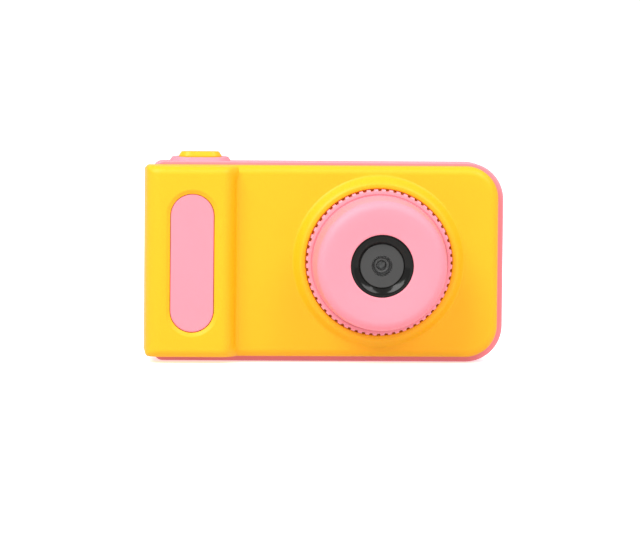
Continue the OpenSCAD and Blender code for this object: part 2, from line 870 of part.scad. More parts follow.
front_shell();
rear_shell();
grip_inlay();
focus_ring();
lens_cap();
cap_screws();
lens_bezel();
lens_window();
lens_barrel();
lens_glass();
lens_holder();
ir_filter();
image_sensor();
sensor_board();
sensor_flex();
shutter_button();
shutter_switch();
up_key();
down_key();
left_key();
right_key();
ok_key();
menu_key();
play_key();
power_key();
key_switches();
main_board();
processor();
memory_chip();
crystal();
board_parts();
flex_sockets();
board_screws();
usb_socket();
card_socket();
memory_card();
port_cover();
lcd_panel();
lcd_backlight();
lcd_flex();
screen_gasket();
screen_window();
battery();
battery_pad();
battery_leads();
speaker();
speaker_gasket();
speaker_leads();
microphone();
status_led();
light_pipe();
strap_pin();
shell_screws();
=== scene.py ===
import math

import bmesh
import bpy
from mathutils import Matrix, Vector
from mathutils.geometry import delaunay_2d_cdt


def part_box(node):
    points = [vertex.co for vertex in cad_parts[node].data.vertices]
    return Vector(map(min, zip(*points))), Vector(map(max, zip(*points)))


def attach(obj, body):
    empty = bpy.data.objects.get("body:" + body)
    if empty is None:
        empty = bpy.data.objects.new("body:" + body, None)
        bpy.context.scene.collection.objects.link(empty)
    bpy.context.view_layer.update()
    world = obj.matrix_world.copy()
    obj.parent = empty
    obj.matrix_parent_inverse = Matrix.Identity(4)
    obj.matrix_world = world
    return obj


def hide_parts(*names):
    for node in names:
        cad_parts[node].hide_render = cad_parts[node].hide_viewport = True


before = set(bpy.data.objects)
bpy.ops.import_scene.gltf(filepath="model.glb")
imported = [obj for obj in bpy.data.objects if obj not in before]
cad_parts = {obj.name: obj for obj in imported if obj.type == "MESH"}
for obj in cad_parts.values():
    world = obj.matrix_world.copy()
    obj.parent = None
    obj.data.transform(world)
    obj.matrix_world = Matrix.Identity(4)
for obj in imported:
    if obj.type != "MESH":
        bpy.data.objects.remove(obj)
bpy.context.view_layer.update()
print("camera: frame loaded,", len(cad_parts), "nodes")

mm = 0.001  # shapes are worked out in millimetres and stored in metres


def boxOf(node):
    low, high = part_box(node)
    return Vector(low) / mm, Vector(high) / mm


def islandBoxes(node):
    # the box of each separate solid of a CAD node, in millimetres
    work = bmesh.new()
    work.from_mesh(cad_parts[node].data)
    bmesh.ops.remove_doubles(work, verts=work.verts, dist=1e-6)
    work.verts.ensure_lookup_table()
    seen, boxes = set(), []
    for start in work.verts:
        if start in seen:
            continue
        seen.add(start)
        stack, points = [start], []
        while stack:
            vert = stack.pop()
            points.append(vert.co / mm)
            for edge in vert.link_edges:
                other = edge.other_vert(vert)
                if other not in seen:
                    seen.add(other)
                    stack.append(other)
        low = Vector([min(p[k] for p in points) for k in range(3)])
        high = Vector([max(p[k] for p in points) for k in range(3)])
        boxes.append((low, high))
    work.free()
    return boxes


# places that everything else is worked out from
frontLow, frontHigh = boxOf("front_shell")
rearLow, rearHigh = boxOf("rear_shell")
ringLow, ringHigh = boxOf("focus_ring")
capLow, capHigh = boxOf("lens_cap")
inlayLow, inlayHigh = boxOf("grip_inlay")
bezelLow, bezelHigh = boxOf("lens_bezel")
windowLow, windowHigh = boxOf("screen_window")
faceY = boxOf("sensor_board")[1].y
rimY = rearLow.y
backY = rearHigh.y
lensX, lensZ = (ringLow.x + ringHigh.x) / 2, (ringLow.z + ringHigh.z) / 2
ringR = (ringHigh.x - ringLow.x) / 2
capR = (capHigh.x - capLow.x) / 2
bodyH = rearHigh.z - 0.7  # without the collar round the shutter button
print("camera: places read, face at", round(faceY, 2), "mm")


def pieceFrom(name, verts, faces):
    # a new object from points in millimetres, with its faces pointing outwards
    mesh = bpy.data.meshes.new(name)
    work = bmesh.new()
    made = [work.verts.new(Vector(v) * mm) for v in verts]
    for face in faces:
        if len(set(face)) > 2:
            work.faces.new([made[i] for i in face])
    bmesh.ops.remove_doubles(work, verts=work.verts, dist=2e-7)
    bmesh.ops.dissolve_degenerate(work, edges=work.edges, dist=1e-8)
    bmesh.ops.recalc_face_normals(work, faces=work.faces)
    work.to_mesh(mesh)
    work.free()
    piece = bpy.data.objects.new(name, mesh)
    bpy.context.collection.objects.link(piece)
    return piece


def lofted(name, loops, closed=False):
    # walls between loops of equally many points, with a cap at each end unless it is closed on itself
    count = len(loops[0])
    verts = [p for loop in loops for p in loop]
    faces = []
    for k in range(len(loops) if closed else len(loops) - 1):
        here, there = k * count, (k + 1) % len(loops) * count
        for i in range(count):
            j = (i + 1) % count
            faces.append((here + i, here + j, there + j, there + i))
    if not closed:
        faces.append(tuple(range(count))[::-1])
        faces.append(tuple(range((len(loops) - 1) * count, len(loops) * count)))
    return pieceFrom(name, verts, faces)


def turned(name, profile, segments=128):
    # a profile of (radius, reach in front of the face), turned about the lens axis
    loops = []
    for k in range(segments):
        a = 2 * math.pi * k / segments
        loops.append([(lensX + r * math.cos(a), faceY - reach, lensZ + r * math.sin(a))
                      for r, reach in profile])
    return lofted(name, loops, closed=True)


def arcPoints(cx, cy, r, fromDeg, toDeg, steps):
    angles = [math.radians(fromDeg + (toDeg - fromDeg) * k / steps) for k in range(steps + 1)]
    return [(cx + r * math.cos(a), cy + r * math.sin(a)) for a in angles]


def roundedProfile(points, steps=5):
    # rounds the corners of a closed profile: each point is (x, y, radius)
    out = []
    count = len(points)
    for i, (x, y, r) in enumerate(points):
        here = Vector((x, y))
        before = Vector(points[i - 1][:2]) - here
        after = Vector(points[(i + 1) % count][:2]) - here
        if r <= 0 or before.length < 1e-6 or after.length < 1e-6:
            out.append((x, y))
            continue
        u, v = before.normalized(), after.normalized()
        half = u.angle(v) / 2
        back = min(r / math.tan(half), before.length * 0.49, after.length * 0.49)
        radius = back * math.tan(half)
        centre = here + (u + v).normalized() * (radius / math.sin(half))
        a = here + u * back - centre
        b = here + v * back - centre
        turn = a.angle_signed(b)
        for k in range(steps + 1):
            w = a.copy()
            w.rotate(Matrix.Rotation(-turn * k / steps, 2))
            out.append(tuple(centre + w))
    return out


def applied(piece):
    # the piece's modifiers made final
    graph = bpy.context.evaluated_depsgraph_get()
    mesh = bpy.data.meshes.new_from_object(piece.evaluated_get(graph), depsgraph=graph)
    piece.modifiers.clear()
    old = piece.data
    piece.data = mesh
    mesh.name = piece.name
    bpy.data.meshes.remove(old)
    return piece


def discard(piece):
    mesh = piece.data
    bpy.data.objects.remove(piece)
    bpy.data.meshes.remove(mesh)


def combine(piece, tools, how="DIFFERENCE"):
    # unites or cuts with closed tools, then throws the tools away
    for tool in tools:
        mod = piece.modifiers.new("cut", "BOOLEAN")
        mod.operation = how
        mod.solver = "MANIFOLD"
        mod.object = tool
    bpy.context.view_layer.update()
    applied(piece)
    for tool in tools:
        discard(tool)
    return piece


def paint(piece, material):
    piece.data.materials.clear()
    piece.data.materials.append(material)
    for face in piece.data.polygons:
        face.material_index = 0


def middleOf(node):
    low, high = boxOf(node)
    return [(a + b) / 2 for a, b in zip(low, high)]


def centreOf(node):
    # the middle of a node in X and Z
    x, _, z = middleOf(node)
    return x, z


def finishEdges(piece, angle=32):
    # smooth faces with crisp edges where the surface really turns
    mesh = piece.data
    work = bmesh.new()
    work.from_mesh(mesh)
    bmesh.ops.remove_doubles(work, verts=work.verts, dist=1e-7)
    bmesh.ops.dissolve_degenerate(work, edges=work.edges, dist=1e-8)
    limit = math.radians(angle)
    for face in work.faces:
        face.smooth = True
    for edge in work.edges:
        edge.smooth = len(edge.link_faces) == 2 and edge.calc_face_angle(0) < limit
    work.to_mesh(mesh)
    work.free()
    mod = piece.modifiers.new("weighted", "WEIGHTED_NORMAL")
    mod.keep_sharp = True
    mod.weight = 80
    return applied(piece)


def settle(piece, body, node, material, angle=32):
    # paints and smooths a finished piece, and hands it to the frame
    paint(piece, material)
    finishEdges(piece, angle)
    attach(piece, body)
    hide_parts(node)
    print("camera:", piece.name, len(piece.data.polygons), "faces")
    return piece


def plate(x0, x1, z0, z1, rLeft, rRight, inset=0.0, smallSteps=10, largeSteps=28, straight=2.0):
    # outline with two small corners on the left and two large on the right, as (x, z), anticlockwise
    rl, rr = max(rLeft - inset, 0.05), max(rRight - inset, 0.05)
    x0, x1, z0, z1 = x0 + inset, x1 - inset, z0 + inset, z1 - inset
    corners = [(x1 - rr, z1 - rr, rr, 0, largeSteps), (x0 + rl, z1 - rl, rl, 90, smallSteps),
               (x0 + rl, z0 + rl, rl, 180, smallSteps), (x1 - rr, z0 + rr, rr, 270, largeSteps)]
    points = []
    for k, (cx, cz, r, a, steps) in enumerate(corners):
        arc = arcPoints(cx, cz, r, a, a + 90, steps)
        points += arc
        nx, nz, nr, na, _ = corners[(k + 1) % 4]
        end = Vector(arc[-1])
        start = Vector((nx + nr * math.cos(math.radians(na)), nz + nr * math.sin(math.radians(na))))
        span = (x1 - x0) if k % 2 == 0 else (z1 - z0)
        pieces = max(1, round(span / straight))
        points += [tuple(end.lerp(start, i / pieces)) for i in range(1, pieces)]
    return points


def slab(name, outline, fromDepth, toDepth, chamfer=0.0):
    # an (x, z) outline made solid between two depths; a chamfer flares its rear end
    loops = [[(x, faceY + fromDepth, z) for x, z in outline]]
    if chamfer:
        wide = grown(outline, chamfer)
        loops.append([(x, faceY + toDepth - chamfer, z) for x, z in outline])
        loops.append([(x, faceY + toDepth, z) for x, z in wide])
        loops.append([(x, faceY + toDepth + 1, z) for x, z in wide])
    else:
        loops.append([(x, faceY + toDepth, z) for x, z in outline])
    return lofted(name, loops)


def grown(outline, by):
    # an outline moved outwards along its own normals
    count = len(outline)
    area = sum(outline[i][0] * outline[(i + 1) % count][1] - outline[(i + 1) % count][0] * outline[i][1]
               for i in range(count))
    turn = 1 if area > 0 else -1
    out = []
    for i in range(count):
        here = Vector(outline[i])
        u = (here - Vector(outline[i - 1])).normalized()
        v = (Vector(outline[(i + 1) % count]) - here).normalized()
        nu, nv = Vector((u.y, -u.x)) * turn, Vector((v.y, -v.x)) * turn
        mid = (nu + nv).normalized()
        out.append(tuple(here + mid * by / max(0.35, mid.dot(nu))))
    return out


def disc(x, z, r, steps=32):
    return [(x + r * math.cos(2 * math.pi * k / steps), z + r * math.sin(2 * math.pi * k / steps))
            for k in range(steps)]


def rod(name, x, z, r, fromDepth, toDepth, steps=32):
    return slab(name, disc(x, z, r, steps), fromDepth, toDepth)


def blockPiece(name, low, high):
    # a block between two (x, depth, z) corners
    xs, ds, zs = zip(low, high)
    return slab(name, [(xs[0], zs[0]), (xs[1], zs[0]), (xs[1], zs[1]), (xs[0], zs[1])], ds[0], ds[1])


def uprightSlot(x, z, width, length, steps=24):
    r = width / 2
    top = arcPoints(x, z + length / 2 - r, r, 0, 180, steps)
    low = arcPoints(x, z - length / 2 + r, r, 180, 360, steps)
    return top + low


frontPlan = {
    "edge": 1.95,         # rounding of the front face's outer edge
    "gripSide": 3.4,      # rounding of the grip's outer side
    "gripFall": 4.4,      # width of the slope from the grip down to the face
    "gripFlare": 1.2,     # small hollow at the foot of that slope
    "smallCorner": 0.85,
    "largeCorner": 7.4,
    "cheekFall": 1.1,     # how much the cheek's top end slopes down towards the back
    "wall": 1.8,
    "sideWall": 1.9,
    "moat": 1.2,          # width of the slope round the inlay
    "moatDrop": 0.55,
    "skirtWidth": 3.1,
    "skirtRise": 2.2,
    "skirtGap": 0.12,     # between the ring's teeth and the skirt's lip
    "ledge": 1.1,         # step inside the skirt, under the teeth
    "cheekDepth": 13.0,
    "postR": 1.9,
    "bossR": 2.3,
    "bearingR": 12.0,     # the ring turns on it
    "bearingWall": 1.6,
    "inlayGap": 0.12,
    "inlayPocket": 1.95,
}
pegR, pegReach = 0.8, 9.0  # the inlay's two pegs, above and below its middle
gripRise = faceY - inlayLow.y + frontPlan["moatDrop"]
gripEnd = frontLow.x + 21.9
inlayX, inlayZ = centreOf("grip_inlay")
inlayW = inlayHigh.x - inlayLow.x
inlayL = inlayHigh.z - inlayLow.z
lipR = ringR + frontPlan["skirtGap"]


def gripHeight(x):
    # height of the front above the flat face along the grip's cross-section
    side, fall, flare = frontPlan["gripSide"], frontPlan["gripFall"], frontPlan["gripFlare"]
    t = x - frontLow.x
    if t < side:
        return gripRise - side + math.sqrt(max(0.0, side ** 2 - (side - t) ** 2))
    t = x - (gripEnd - fall)
    if t <= 0:
        return gripRise
    if t >= fall:
        return 0.0
    # a round shoulder that falls steeply, then a short hollow
    shoulder = fall - flare
    lowEnd, steep = 0.5, 0.96
    if t < shoulder:
        k = t / shoulder * steep
        foot = math.sqrt(1 - steep ** 2)
        return lowEnd + (gripRise - lowEnd) * (math.sqrt(1 - k ** 2) - foot) / (1 - foot)
    k = (t - shoulder) / flare
    return lowEnd * (1 - k) ** 3


def skirtHeight(x, z):
    r = math.hypot(x - lensX, z - lensZ)
    inner, outer = lipR + 0.75, lipR + frontPlan["skirtWidth"]
    rise = frontPlan["skirtRise"]
    if r >= outer:
        return 0.0
    if r <= inner:
        return rise
    k = (r - inner) / (outer - inner)
    return rise * (0.5 + 0.5 * math.cos(math.pi * k)) ** 0.85


def moatDrop(x, z):
    # how far the face sinks near the inlay
    half = inlayL / 2 - inlayW / 2
    dz = max(0.0, abs(z - inlayZ) - half)
    out = math.hypot(x - inlayX, dz) - inlayW / 2
    width = frontPlan["moat"]
    if out >= width:
        return 0.0
    k = 1 - max(0.0, out) / width
    return frontPlan["moatDrop"] * (k * k * (3 - 2 * k) * 0.45 + k * 0.55)


def faceHeight(x, z):
    return gripHeight(x) + skirtHeight(x, z) - moatDrop(x, z)


def frontBands(plan, steps):
    # loops from the outline's wall up and round to the face; the grip's side rounds by its own profile
    outline = plate(frontLow.x, frontHigh.x, frontLow.z, frontHigh.z,
                    plan["smallCorner"], plan["largeCorner"], straight=1.2)
    normals = []
    count = len(outline)
    for i in range(count):
        d = (Vector(outline[(i + 1) % count]) - Vector(outline[i - 1])).normalized()
        normals.append(Vector((-d.y, d.x)))
    loops = []
    reach = 14.0
    middle = (frontLow.z + frontHigh.z) / 2
    half = frontHigh.z - middle
    for s in range(steps + 1):
        a = math.pi / 2 * s / steps
        loop = []
        part = 1 - math.cos(a)
        for p, n in zip(outline, normals):
            side = min(1.0, max(0.0, n.x)) ** 2  # 1 on the grip's side, 0 elsewhere
            drop = plan["edge"] * (1 - side)
            x, z = p[0] + n.x * plan["edge"] * part, p[1] + n.y * plan["edge"] * part
            if p[0] < frontLow.x + reach:
                # the grip's corners slide in whole, so they keep their small radius
                fade = min(1.0, (frontLow.x + reach - p[0]) / (reach - plan["smallCorner"]))
                x = p[0] + plan["gripSide"] * part * fade
                z = middle + (p[1] - middle) * (1 - plan["edge"] * part / half)
            loop.append((x, z, faceHeight(x, z) - drop * (1 - math.sin(a))))
        loops.append(loop)
    return outline, loops


def frontFillPoints(plan):
    # points inside the face where its shape changes: the grip's fall, the skirt, the moat, and a plain grid
    points = []
    fall, flare = plan["gripFall"], plan["gripFlare"]
    columns = [gripEnd - fall + (fall - flare) * math.sin(math.pi / 2 * k / 12) for k in range(13)]
    columns += [gripEnd - flare + flare * k / 6 for k in range(1, 7)]
    tall = frontHigh.z - frontLow.z
    rows = 30
    for x in columns:
        points += [(x, frontLow.z + tall * k / rows) for k in range(rows + 1)]
    rings = [lipR - 0.5, lipR + 0.1, lipR + 0.45]
    rings += [lipR + 0.75 + (plan["skirtWidth"] - 0.75) * k / 12 for k in range(13)]
    for r in rings:
        points += disc(lensX, lensZ, r, 150)
    for k in range(9):
        points += uprightSlot(inlayX, inlayZ, inlayW + 2 * plan["moat"] * k / 8,
                              inlayL + 2 * plan["moat"] * k / 8, 16)
        for side in (-1, 1):
            x = inlayX + side * (inlayW / 2 + plan["moat"] * k / 8)
            points += [(x, inlayZ + (j / 9 - 0.5) * (inlayL - inlayW)) for j in range(1, 9)]
    step = 2.2
    for i in range(int((frontHigh.x - frontLow.x) / step) + 1):
        for j in range(int(tall / step) + 1):
            x, z = frontLow.x + step * (i + 0.5), frontLow.z + step * (j + 0.5)
            r = math.hypot(x - lensX, z - lensZ)
            nearInlay = abs(x - inlayX) < inlayW / 2 + 1.8 and abs(z - inlayZ) < inlayL / 2 + 1.8
            if lipR - 1.2 < r < lipR + plan["skirtWidth"] + 0.8 or nearInlay:
                continue
            if gripEnd - fall - 0.8 < x < gripEnd + 0.8:
                continue
            points.append((x, z))
    return points


def insideLoop(loop, p):
    # whether a point lies inside a closed outline
    hit = False
    for i, a in enumerate(loop):
        b = loop[i - 1]
        if (a.y > p.y) != (b.y > p.y) and p.x < (b.x - a.x) * (p.y - a.y) / (b.y - a.y) + a.x:
            hit = not hit
    return hit


def filled(rim, extra, margin=0.35):
    # triangles over the inside of a rim, through the extra points that keep clear of it
    count = len(rim)
    keep = [p for p in extra
            if insideLoop(rim, p) and min((p - q).length_squared for q in rim) > margin ** 2]
    edges = [(i, (i + 1) % count) for i in range(count)]
    found, _, triangles, origins, _, _ = delaunay_2d_cdt(rim + keep, edges, [], 0, 1e-5)
    inside = [tri for tri in triangles if insideLoop(rim, sum((found[i] for i in tri), Vector((0, 0))) / 3)]
    onRim = [next((o for o in origins[k] if o < count), None) for k in range(len(found))]
    return found, inside, onRim


def slopedTop(loop, fall):
    # pulls a loop's top end down
    return [(x, y, z - fall * min(1.0, max(0.0, (z - frontHigh.z + 3) / 3))) for x, y, z in loop]


def makeFrontSkin(plan):
    # the whole outside of the front shell as one closed solid, as deep as the cheek
    outline, bands = frontBands(plan, 10)
    count = len(outline)
    rimDepth = rimY - faceY
    tops = bands[0]
    rimInset = 0.22
    verts, faces = [], []

    def wallLoop(depth, inset):
        loop = []
        for i, p in enumerate(outline):
            d = (Vector(outline[(i + 1) % count]) - Vector(outline[i - 1])).normalized()
            n = Vector((-d.y, d.x))
            q = Vector(p) + n * inset * (1 - min(1.0, max(0.0, n.x)))
            loop.append((q.x, faceY + depth, q.y))
        return loop

    cheek = plan["cheekDepth"]
    softEdge = 0.35
    backLoop = [(x + (softEdge if x < frontLow.x + 1 else 0), y, z)
                for x, y, z in wallLoop(cheek, rimInset)]
    backLoop = slopedTop(backLoop, plan["cheekFall"])
    loops = [backLoop, slopedTop(wallLoop(cheek - 0.4, rimInset), plan["cheekFall"] - 0.25),
             wallLoop(rimDepth, rimInset),
             wallLoop(rimDepth - 0.25, 0.0)]
    loops += [[(x, faceY - h, z) for x, z, h in loop] for loop in bands]
    for loop in loops:
        verts += loop
    for k in range(len(loops) - 1):
        for i in range(count):
            j = (i + 1) % count
            faces.append((k * count + i, k * count + j, (k + 1) * count + j, (k + 1) * count + i))
    faces.append(tuple(range(count)))
    rim = bands[-1]
    shell = (len(loops) - 1) * count
    found, triangles, onRim = filled([Vector((x, z)) for x, z, _ in rim],
                                     [Vector(p) for p in frontFillPoints(plan)])
    index = []
    for p, rimIndex in zip(found, onRim):
        index.append(len(verts) if rimIndex is None else shell + rimIndex)
        if rimIndex is None:
            verts.append((p.x, faceY - faceHeight(p.x, p.y), p.y))
    faces += [tuple(index[i] for i in tri) for tri in triangles]
    return pieceFrom("frontShell", verts, faces)


def screwSpots(node):
    return [((low.x + high.x) / 2, (low.z + high.z) / 2) for low, high in islandBoxes(node)]


boardSpots = screwSpots("board_screws")
shellSpots = screwSpots("shell_screws")
capSpots = screwSpots("cap_screws")
boardDepth = boxOf("main_board")[0].y - faceY
splitDepth = 8.5
capBase = faceY - frontLow.y


def makeFrontShell(plan, material):
    piece = makeFrontSkin(plan)
    left, right, low, high = frontLow.x, frontHigh.x, frontLow.z, frontHigh.z
    rimDepth = rimY - faceY
    wall, side, rise, ledge = plan["wall"], plan["sideWall"], plan["skirtRise"], plan["ledge"]
    inside = plate(left + side, right - wall, low + wall, high - wall, 0.6, plan["largeCorner"] - wall)
    channelR, gap = ringR - 0.45, 2 * plan["inlayGap"]
    combine(piece, [
        blockPiece("behind", (left + side, rimDepth, -9), (right + 9, plan["cheekDepth"] + 9, 60)),
        slab("cavity", inside, wall, rimDepth + 1),
        blockPiece("gripCavity", (left + side, -0.3, low + wall), (gripEnd - 3.8, wall + 0.1, high - wall)),
        turned("channel", [(0, 0), (channelR, 0), (channelR, ledge), (lipR, ledge), (lipR, rise - 0.2),
                           (lipR + 0.07, rise - 0.08), (lipR + 0.28, rise + 0.02), (lipR + 0.28, 6),
                           (0, 6)], segments=180),
        slab("inlayPocket", uprightSlot(inlayX, inlayZ, inlayW + gap, inlayL + gap), -gripRise - 1,
             -gripRise + plan["inlayPocket"]),
    ])
    bearingR = plan["bearingR"]
    inner = bearingR - plan["bearingWall"]
    posts = [turned("bearing", [(inner, -0.1), (bearingR, -0.1), (bearingR, capBase), (inner, capBase)])]
    posts += [rod("post", x, z, plan["postR"], wall - 0.1, boardDepth) for x, z in boardSpots]
    posts += [rod("boss", x, z, plan["bossR"], wall - 0.1, splitDepth) for x, z in shellSpots]
    combine(piece, posts, "UNION")
    holes = [rod("pilot", x, z, 0.8, boardDepth - 5, boardDepth + 1, steps=20) for x, z in boardSpots]
    holes += [rod("pilot", x, z, 0.9, splitDepth - 4.6, splitDepth + 1, steps=20) for x, z in shellSpots]
    holes += [rod("capHole", x, z, 1.0, -1, wall + 1, steps=20) for x, z in capSpots]
    holes += [rod("pegHole", inlayX, inlayZ + s, pegR, -gripRise, wall + 1, steps=20)
              for s in (-pegReach, pegReach)]
    holes += [blockPiece("flexSlot", (lensX - 3.5, -1, lensZ - 7.7), (lensX + 3.5, wall + 1, lensZ - 6.3))]
    combine(piece, holes)
    return settle(piece, "camera_body", "front_shell", material)


def newTree(name, inputs):
    # a geometry tree with named inputs; each input is (name, socket type)
    tree = bpy.data.node_groups.new(name, "GeometryNodeTree")
    tree.interface.new_socket("Geometry", in_out="INPUT", socket_type="NodeSocketGeometry")
    sockets = {}
    for label, kind in inputs:
        sockets[label] = tree.interface.new_socket(label, in_out="INPUT", socket_type=kind).identifier
    tree.interface.new_socket("Geometry", in_out="OUTPUT", socket_type="NodeSocketGeometry")
    start = tree.nodes.new("NodeGroupInput")
    end = tree.nodes.new("NodeGroupOutput")
    return tree, start, end, sockets


def grownByNodes(name, tree, sockets, values, mesh=None):
    # runs a tree and keeps its result as a plain mesh
    mesh = mesh or bpy.data.meshes.new(name)
    piece = bpy.data.objects.new(name, mesh)
    bpy.context.collection.objects.link(piece)
    mod = piece.modifiers.new(name, "NODES")
    mod.node_group = tree
    for label, value in values.items():
        mod[sockets[label]] = value
    bpy.context.view_layer.update()
    return applied(piece)


def ringOfTools():
    # puts copies of a tool evenly round the Y axis
    tree, start, end, sockets = newTree("ring of grooves", [
        ("Tool", "NodeSocketObject"), ("Count", "NodeSocketInt"), ("Radius", "NodeSocketFloat"),
        ("Centre", "NodeSocketVector"), ("Material", "NodeSocketMaterial")])
    nodes, links = tree.nodes, tree.links
    tool = nodes.new("GeometryNodeObjectInfo")
    circle = nodes.new("GeometryNodeMeshCircle")
    place = nodes.new("GeometryNodeInstanceOnPoints")
    index = nodes.new("GeometryNodeInputIndex")
    share = nodes.new("ShaderNodeMath")
    share.operation = "DIVIDE"
    angle = nodes.new("ShaderNodeMath")
    angle.operation = "MULTIPLY"
    angle.inputs[1].default_value = 2 * math.pi
    spin = nodes.new("ShaderNodeCombineXYZ")
    stand = nodes.new("GeometryNodeTransform")
    stand.inputs["Rotation"].default_value = (math.pi / 2, 0, 0)
    shift = nodes.new("GeometryNodeTransform")
    real = nodes.new("GeometryNodeRealizeInstances")
    paint = nodes.new("GeometryNodeSetMaterial")
    links.new(start.outputs["Tool"], tool.inputs["Object"])
    links.new(start.outputs["Count"], circle.inputs["Vertices"])
    links.new(start.outputs["Radius"], circle.inputs["Radius"])
    links.new(circle.outputs["Mesh"], place.inputs["Points"])
    links.new(tool.outputs["Geometry"], place.inputs["Instance"])
    links.new(index.outputs[0], share.inputs[0])
    links.new(start.outputs["Count"], share.inputs[1])
    links.new(share.outputs[0], angle.inputs[0])
    links.new(angle.outputs[0], spin.inputs["Z"])
    links.new(spin.outputs[0], place.inputs["Rotation"])
    links.new(place.outputs["Instances"], stand.inputs["Geometry"])
    links.new(stand.outputs["Geometry"], shift.inputs["Geometry"])
    links.new(start.outputs["Centre"], shift.inputs["Translation"])
    links.new(shift.outputs["Geometry"], real.inputs["Geometry"])
    links.new(real.outputs["Geometry"], paint.inputs["Geometry"])
    links.new(start.outputs["Material"], paint.inputs["Material"])
    links.new(paint.outputs["Geometry"], end.inputs["Geometry"])
    return tree, sockets


def toolsOnPoints():
    # puts a copy of a tool on every point of a mesh
    tree, start, end, sockets = newTree("tools on points", [
        ("Tool", "NodeSocketObject"), ("Material", "NodeSocketMaterial")])
    nodes, links = tree.nodes, tree.links
    tool = nodes.new("GeometryNodeObjectInfo")
    place = nodes.new("GeometryNodeInstanceOnPoints")
    real = nodes.new("GeometryNodeRealizeInstances")
    paint = nodes.new("GeometryNodeSetMaterial")
    links.new(start.outputs["Geometry"], place.inputs["Points"])
    links.new(start.outputs["Tool"], tool.inputs["Object"])
    links.new(tool.outputs["Geometry"], place.inputs["Instance"])
    links.new(place.outputs["Instances"], real.inputs["Geometry"])
    links.new(real.outputs["Geometry"], paint.inputs["Geometry"])
    links.new(start.outputs["Material"], paint.inputs["Material"])
    links.new(paint.outputs["Geometry"], end.inputs["Geometry"])
    return tree, sockets


def copiesAt(name, tool, spots, material):
    # copies of a tool at a list of points in millimetres, as one mesh; the tool is thrown away
    tree, sockets = toolsOnPoints()
    mesh = bpy.data.meshes.new(name)
    mesh.from_pydata([Vector(p) * mm for p in spots], [], [])
    piece = grownByNodes(name, tree, sockets, {"Tool": tool, "Material": material}, mesh)
    discard(tool)
    bpy.data.node_groups.remove(tree)
    return piece


ringPlan = {
    "grooves": 60,
    "grooveWidth": 0.98,
    "grooveDepth": 0.44,
    "boreR": 12.05,
    "topRound": 0.4,
}


def makeRing(plan, material):
    low, top = faceY - ringHigh.y, faceY - ringLow.y
    foot, teethFrom = ringR - 0.65, frontPlan["ledge"] + 0.15
    profile = roundedProfile([
        (plan["boreR"], low, 0.15), (foot, low, 0.1), (foot, teethFrom, 0), (ringR, teethFrom, 0.1),
        (ringR, top, plan["topRound"]), (capR + 0.35, top, 0.2), (capR + 0.05, top - 0.1, 0.05),
        (plan["boreR"], top - 0.1, 0.1)])
    piece = turned("focusRing", profile, segments=240)
    # one groove lies along the axis at the ring's edge, rounded at its bottom
    half, deep = plan["grooveWidth"] / 2, plan["grooveDepth"]
    section = [(1.0, half * 1.5), (0.05, half), (-deep * 0.75, half * 0.8), (-deep, half * 0.35),
               (-deep, -half * 0.35), (-deep * 0.75, -half * 0.8), (0.05, -half), (1.0, -half * 1.5)]
    groove = lofted("groove", [[(x, y, z) for x, y in section] for z in (-1.0, top - low + 1.0)])
    tree, sockets = ringOfTools()
    centre = Vector((lensX, faceY - low, lensZ)) * mm
    tools = grownByNodes("grooves", tree, sockets, {
        "Tool": groove, "Count": plan["grooves"], "Radius": ringR * mm, "Centre": centre,
        "Material": material})
    discard(groove)
    bpy.data.node_groups.remove(tree)
    combine(piece, [tools])
    return settle(piece, "ring", "focus_ring", material, 40)


capPlan = {
    "taper": 0.55,
    "shoulder": 2.1,
    "dish": 0.42,         # how far the face sinks from its rim to the bezel
    "footRound": 0.25,
    "wall": 2.0,
    "bezelSeat": 1.3,     # how far the seat lies behind the bezel's front
    "boreR": 6.75,
    "flatReach": 12.4,    # reach of the inside of its end
    "baseR": 10.4,
    "postR": 1.6,
    "pilotR": 0.75,
}


def makeCap(plan, material):
    reach = faceY - capLow.y
    top = capR - plan["taper"]
    shoulder, foot, innerR = plan["shoulder"], plan["footRound"], capR - plan["wall"]
    bezelR = (bezelHigh.x - bezelLow.x) / 2
    rim = top - shoulder
    outer = [(capR - foot, capBase)]
    outer += arcPoints(capR - foot, capBase + foot, foot, -90, 0, 5)[1:]
    outer += [(capR - 0.06, capBase + 1.6), (capR - 0.24, capBase + 4.2)]
    outer += arcPoints(rim, reach - shoulder, shoulder, 0, 90, 18)
    for k in range(1, 13):
        t = k / 12
        fall = plan["dish"] * (0.5 - 0.5 * math.cos(math.pi * t * 0.92))
        outer.append((rim + (bezelR + 0.2 - rim) * t, reach - fall))
    lip = outer[-1][1]
    seat, flat, base = faceY - bezelLow.y - plan["bezelSeat"], plan["flatReach"], capBase + 1.5
    outer += [(bezelR + 0.08, lip - 0.07), (bezelR + 0.05, lip - 0.16), (bezelR + 0.05, seat),
              (plan["boreR"], seat), (plan["boreR"], flat)]
    inner = [(rim + 0.6, flat), (top - 2.4, 11.2), (innerR, 8.6), (innerR, base), (plan["baseR"], base),
             (plan["baseR"], capBase)]
    piece = turned("lensCap", outer + inner, segments=180)
    combine(piece, [rod("capPost", x, z, plan["postR"], -12.5, 0) for x, z in capSpots], "UNION")
    combine(piece, [rod("capPilot", x, z, plan["pilotR"], -8, 1, steps=20) for x, z in capSpots])
    return settle(piece, "camera_body", "lens_cap", material)


bezelPlan = {
    "rimR": 6.55,         # where the flat rim turns into the hollow
    "hollowWidth": 1.4,
    "hollowDepth": 1.02,
    "bend": 1.3,          # how late the hollow steepens
    "shankR": 6.65,
    "windowR": 5.6,
    "windowSeat": 1.6,
    "flange": 1.3,
    "long": 2.9,
}


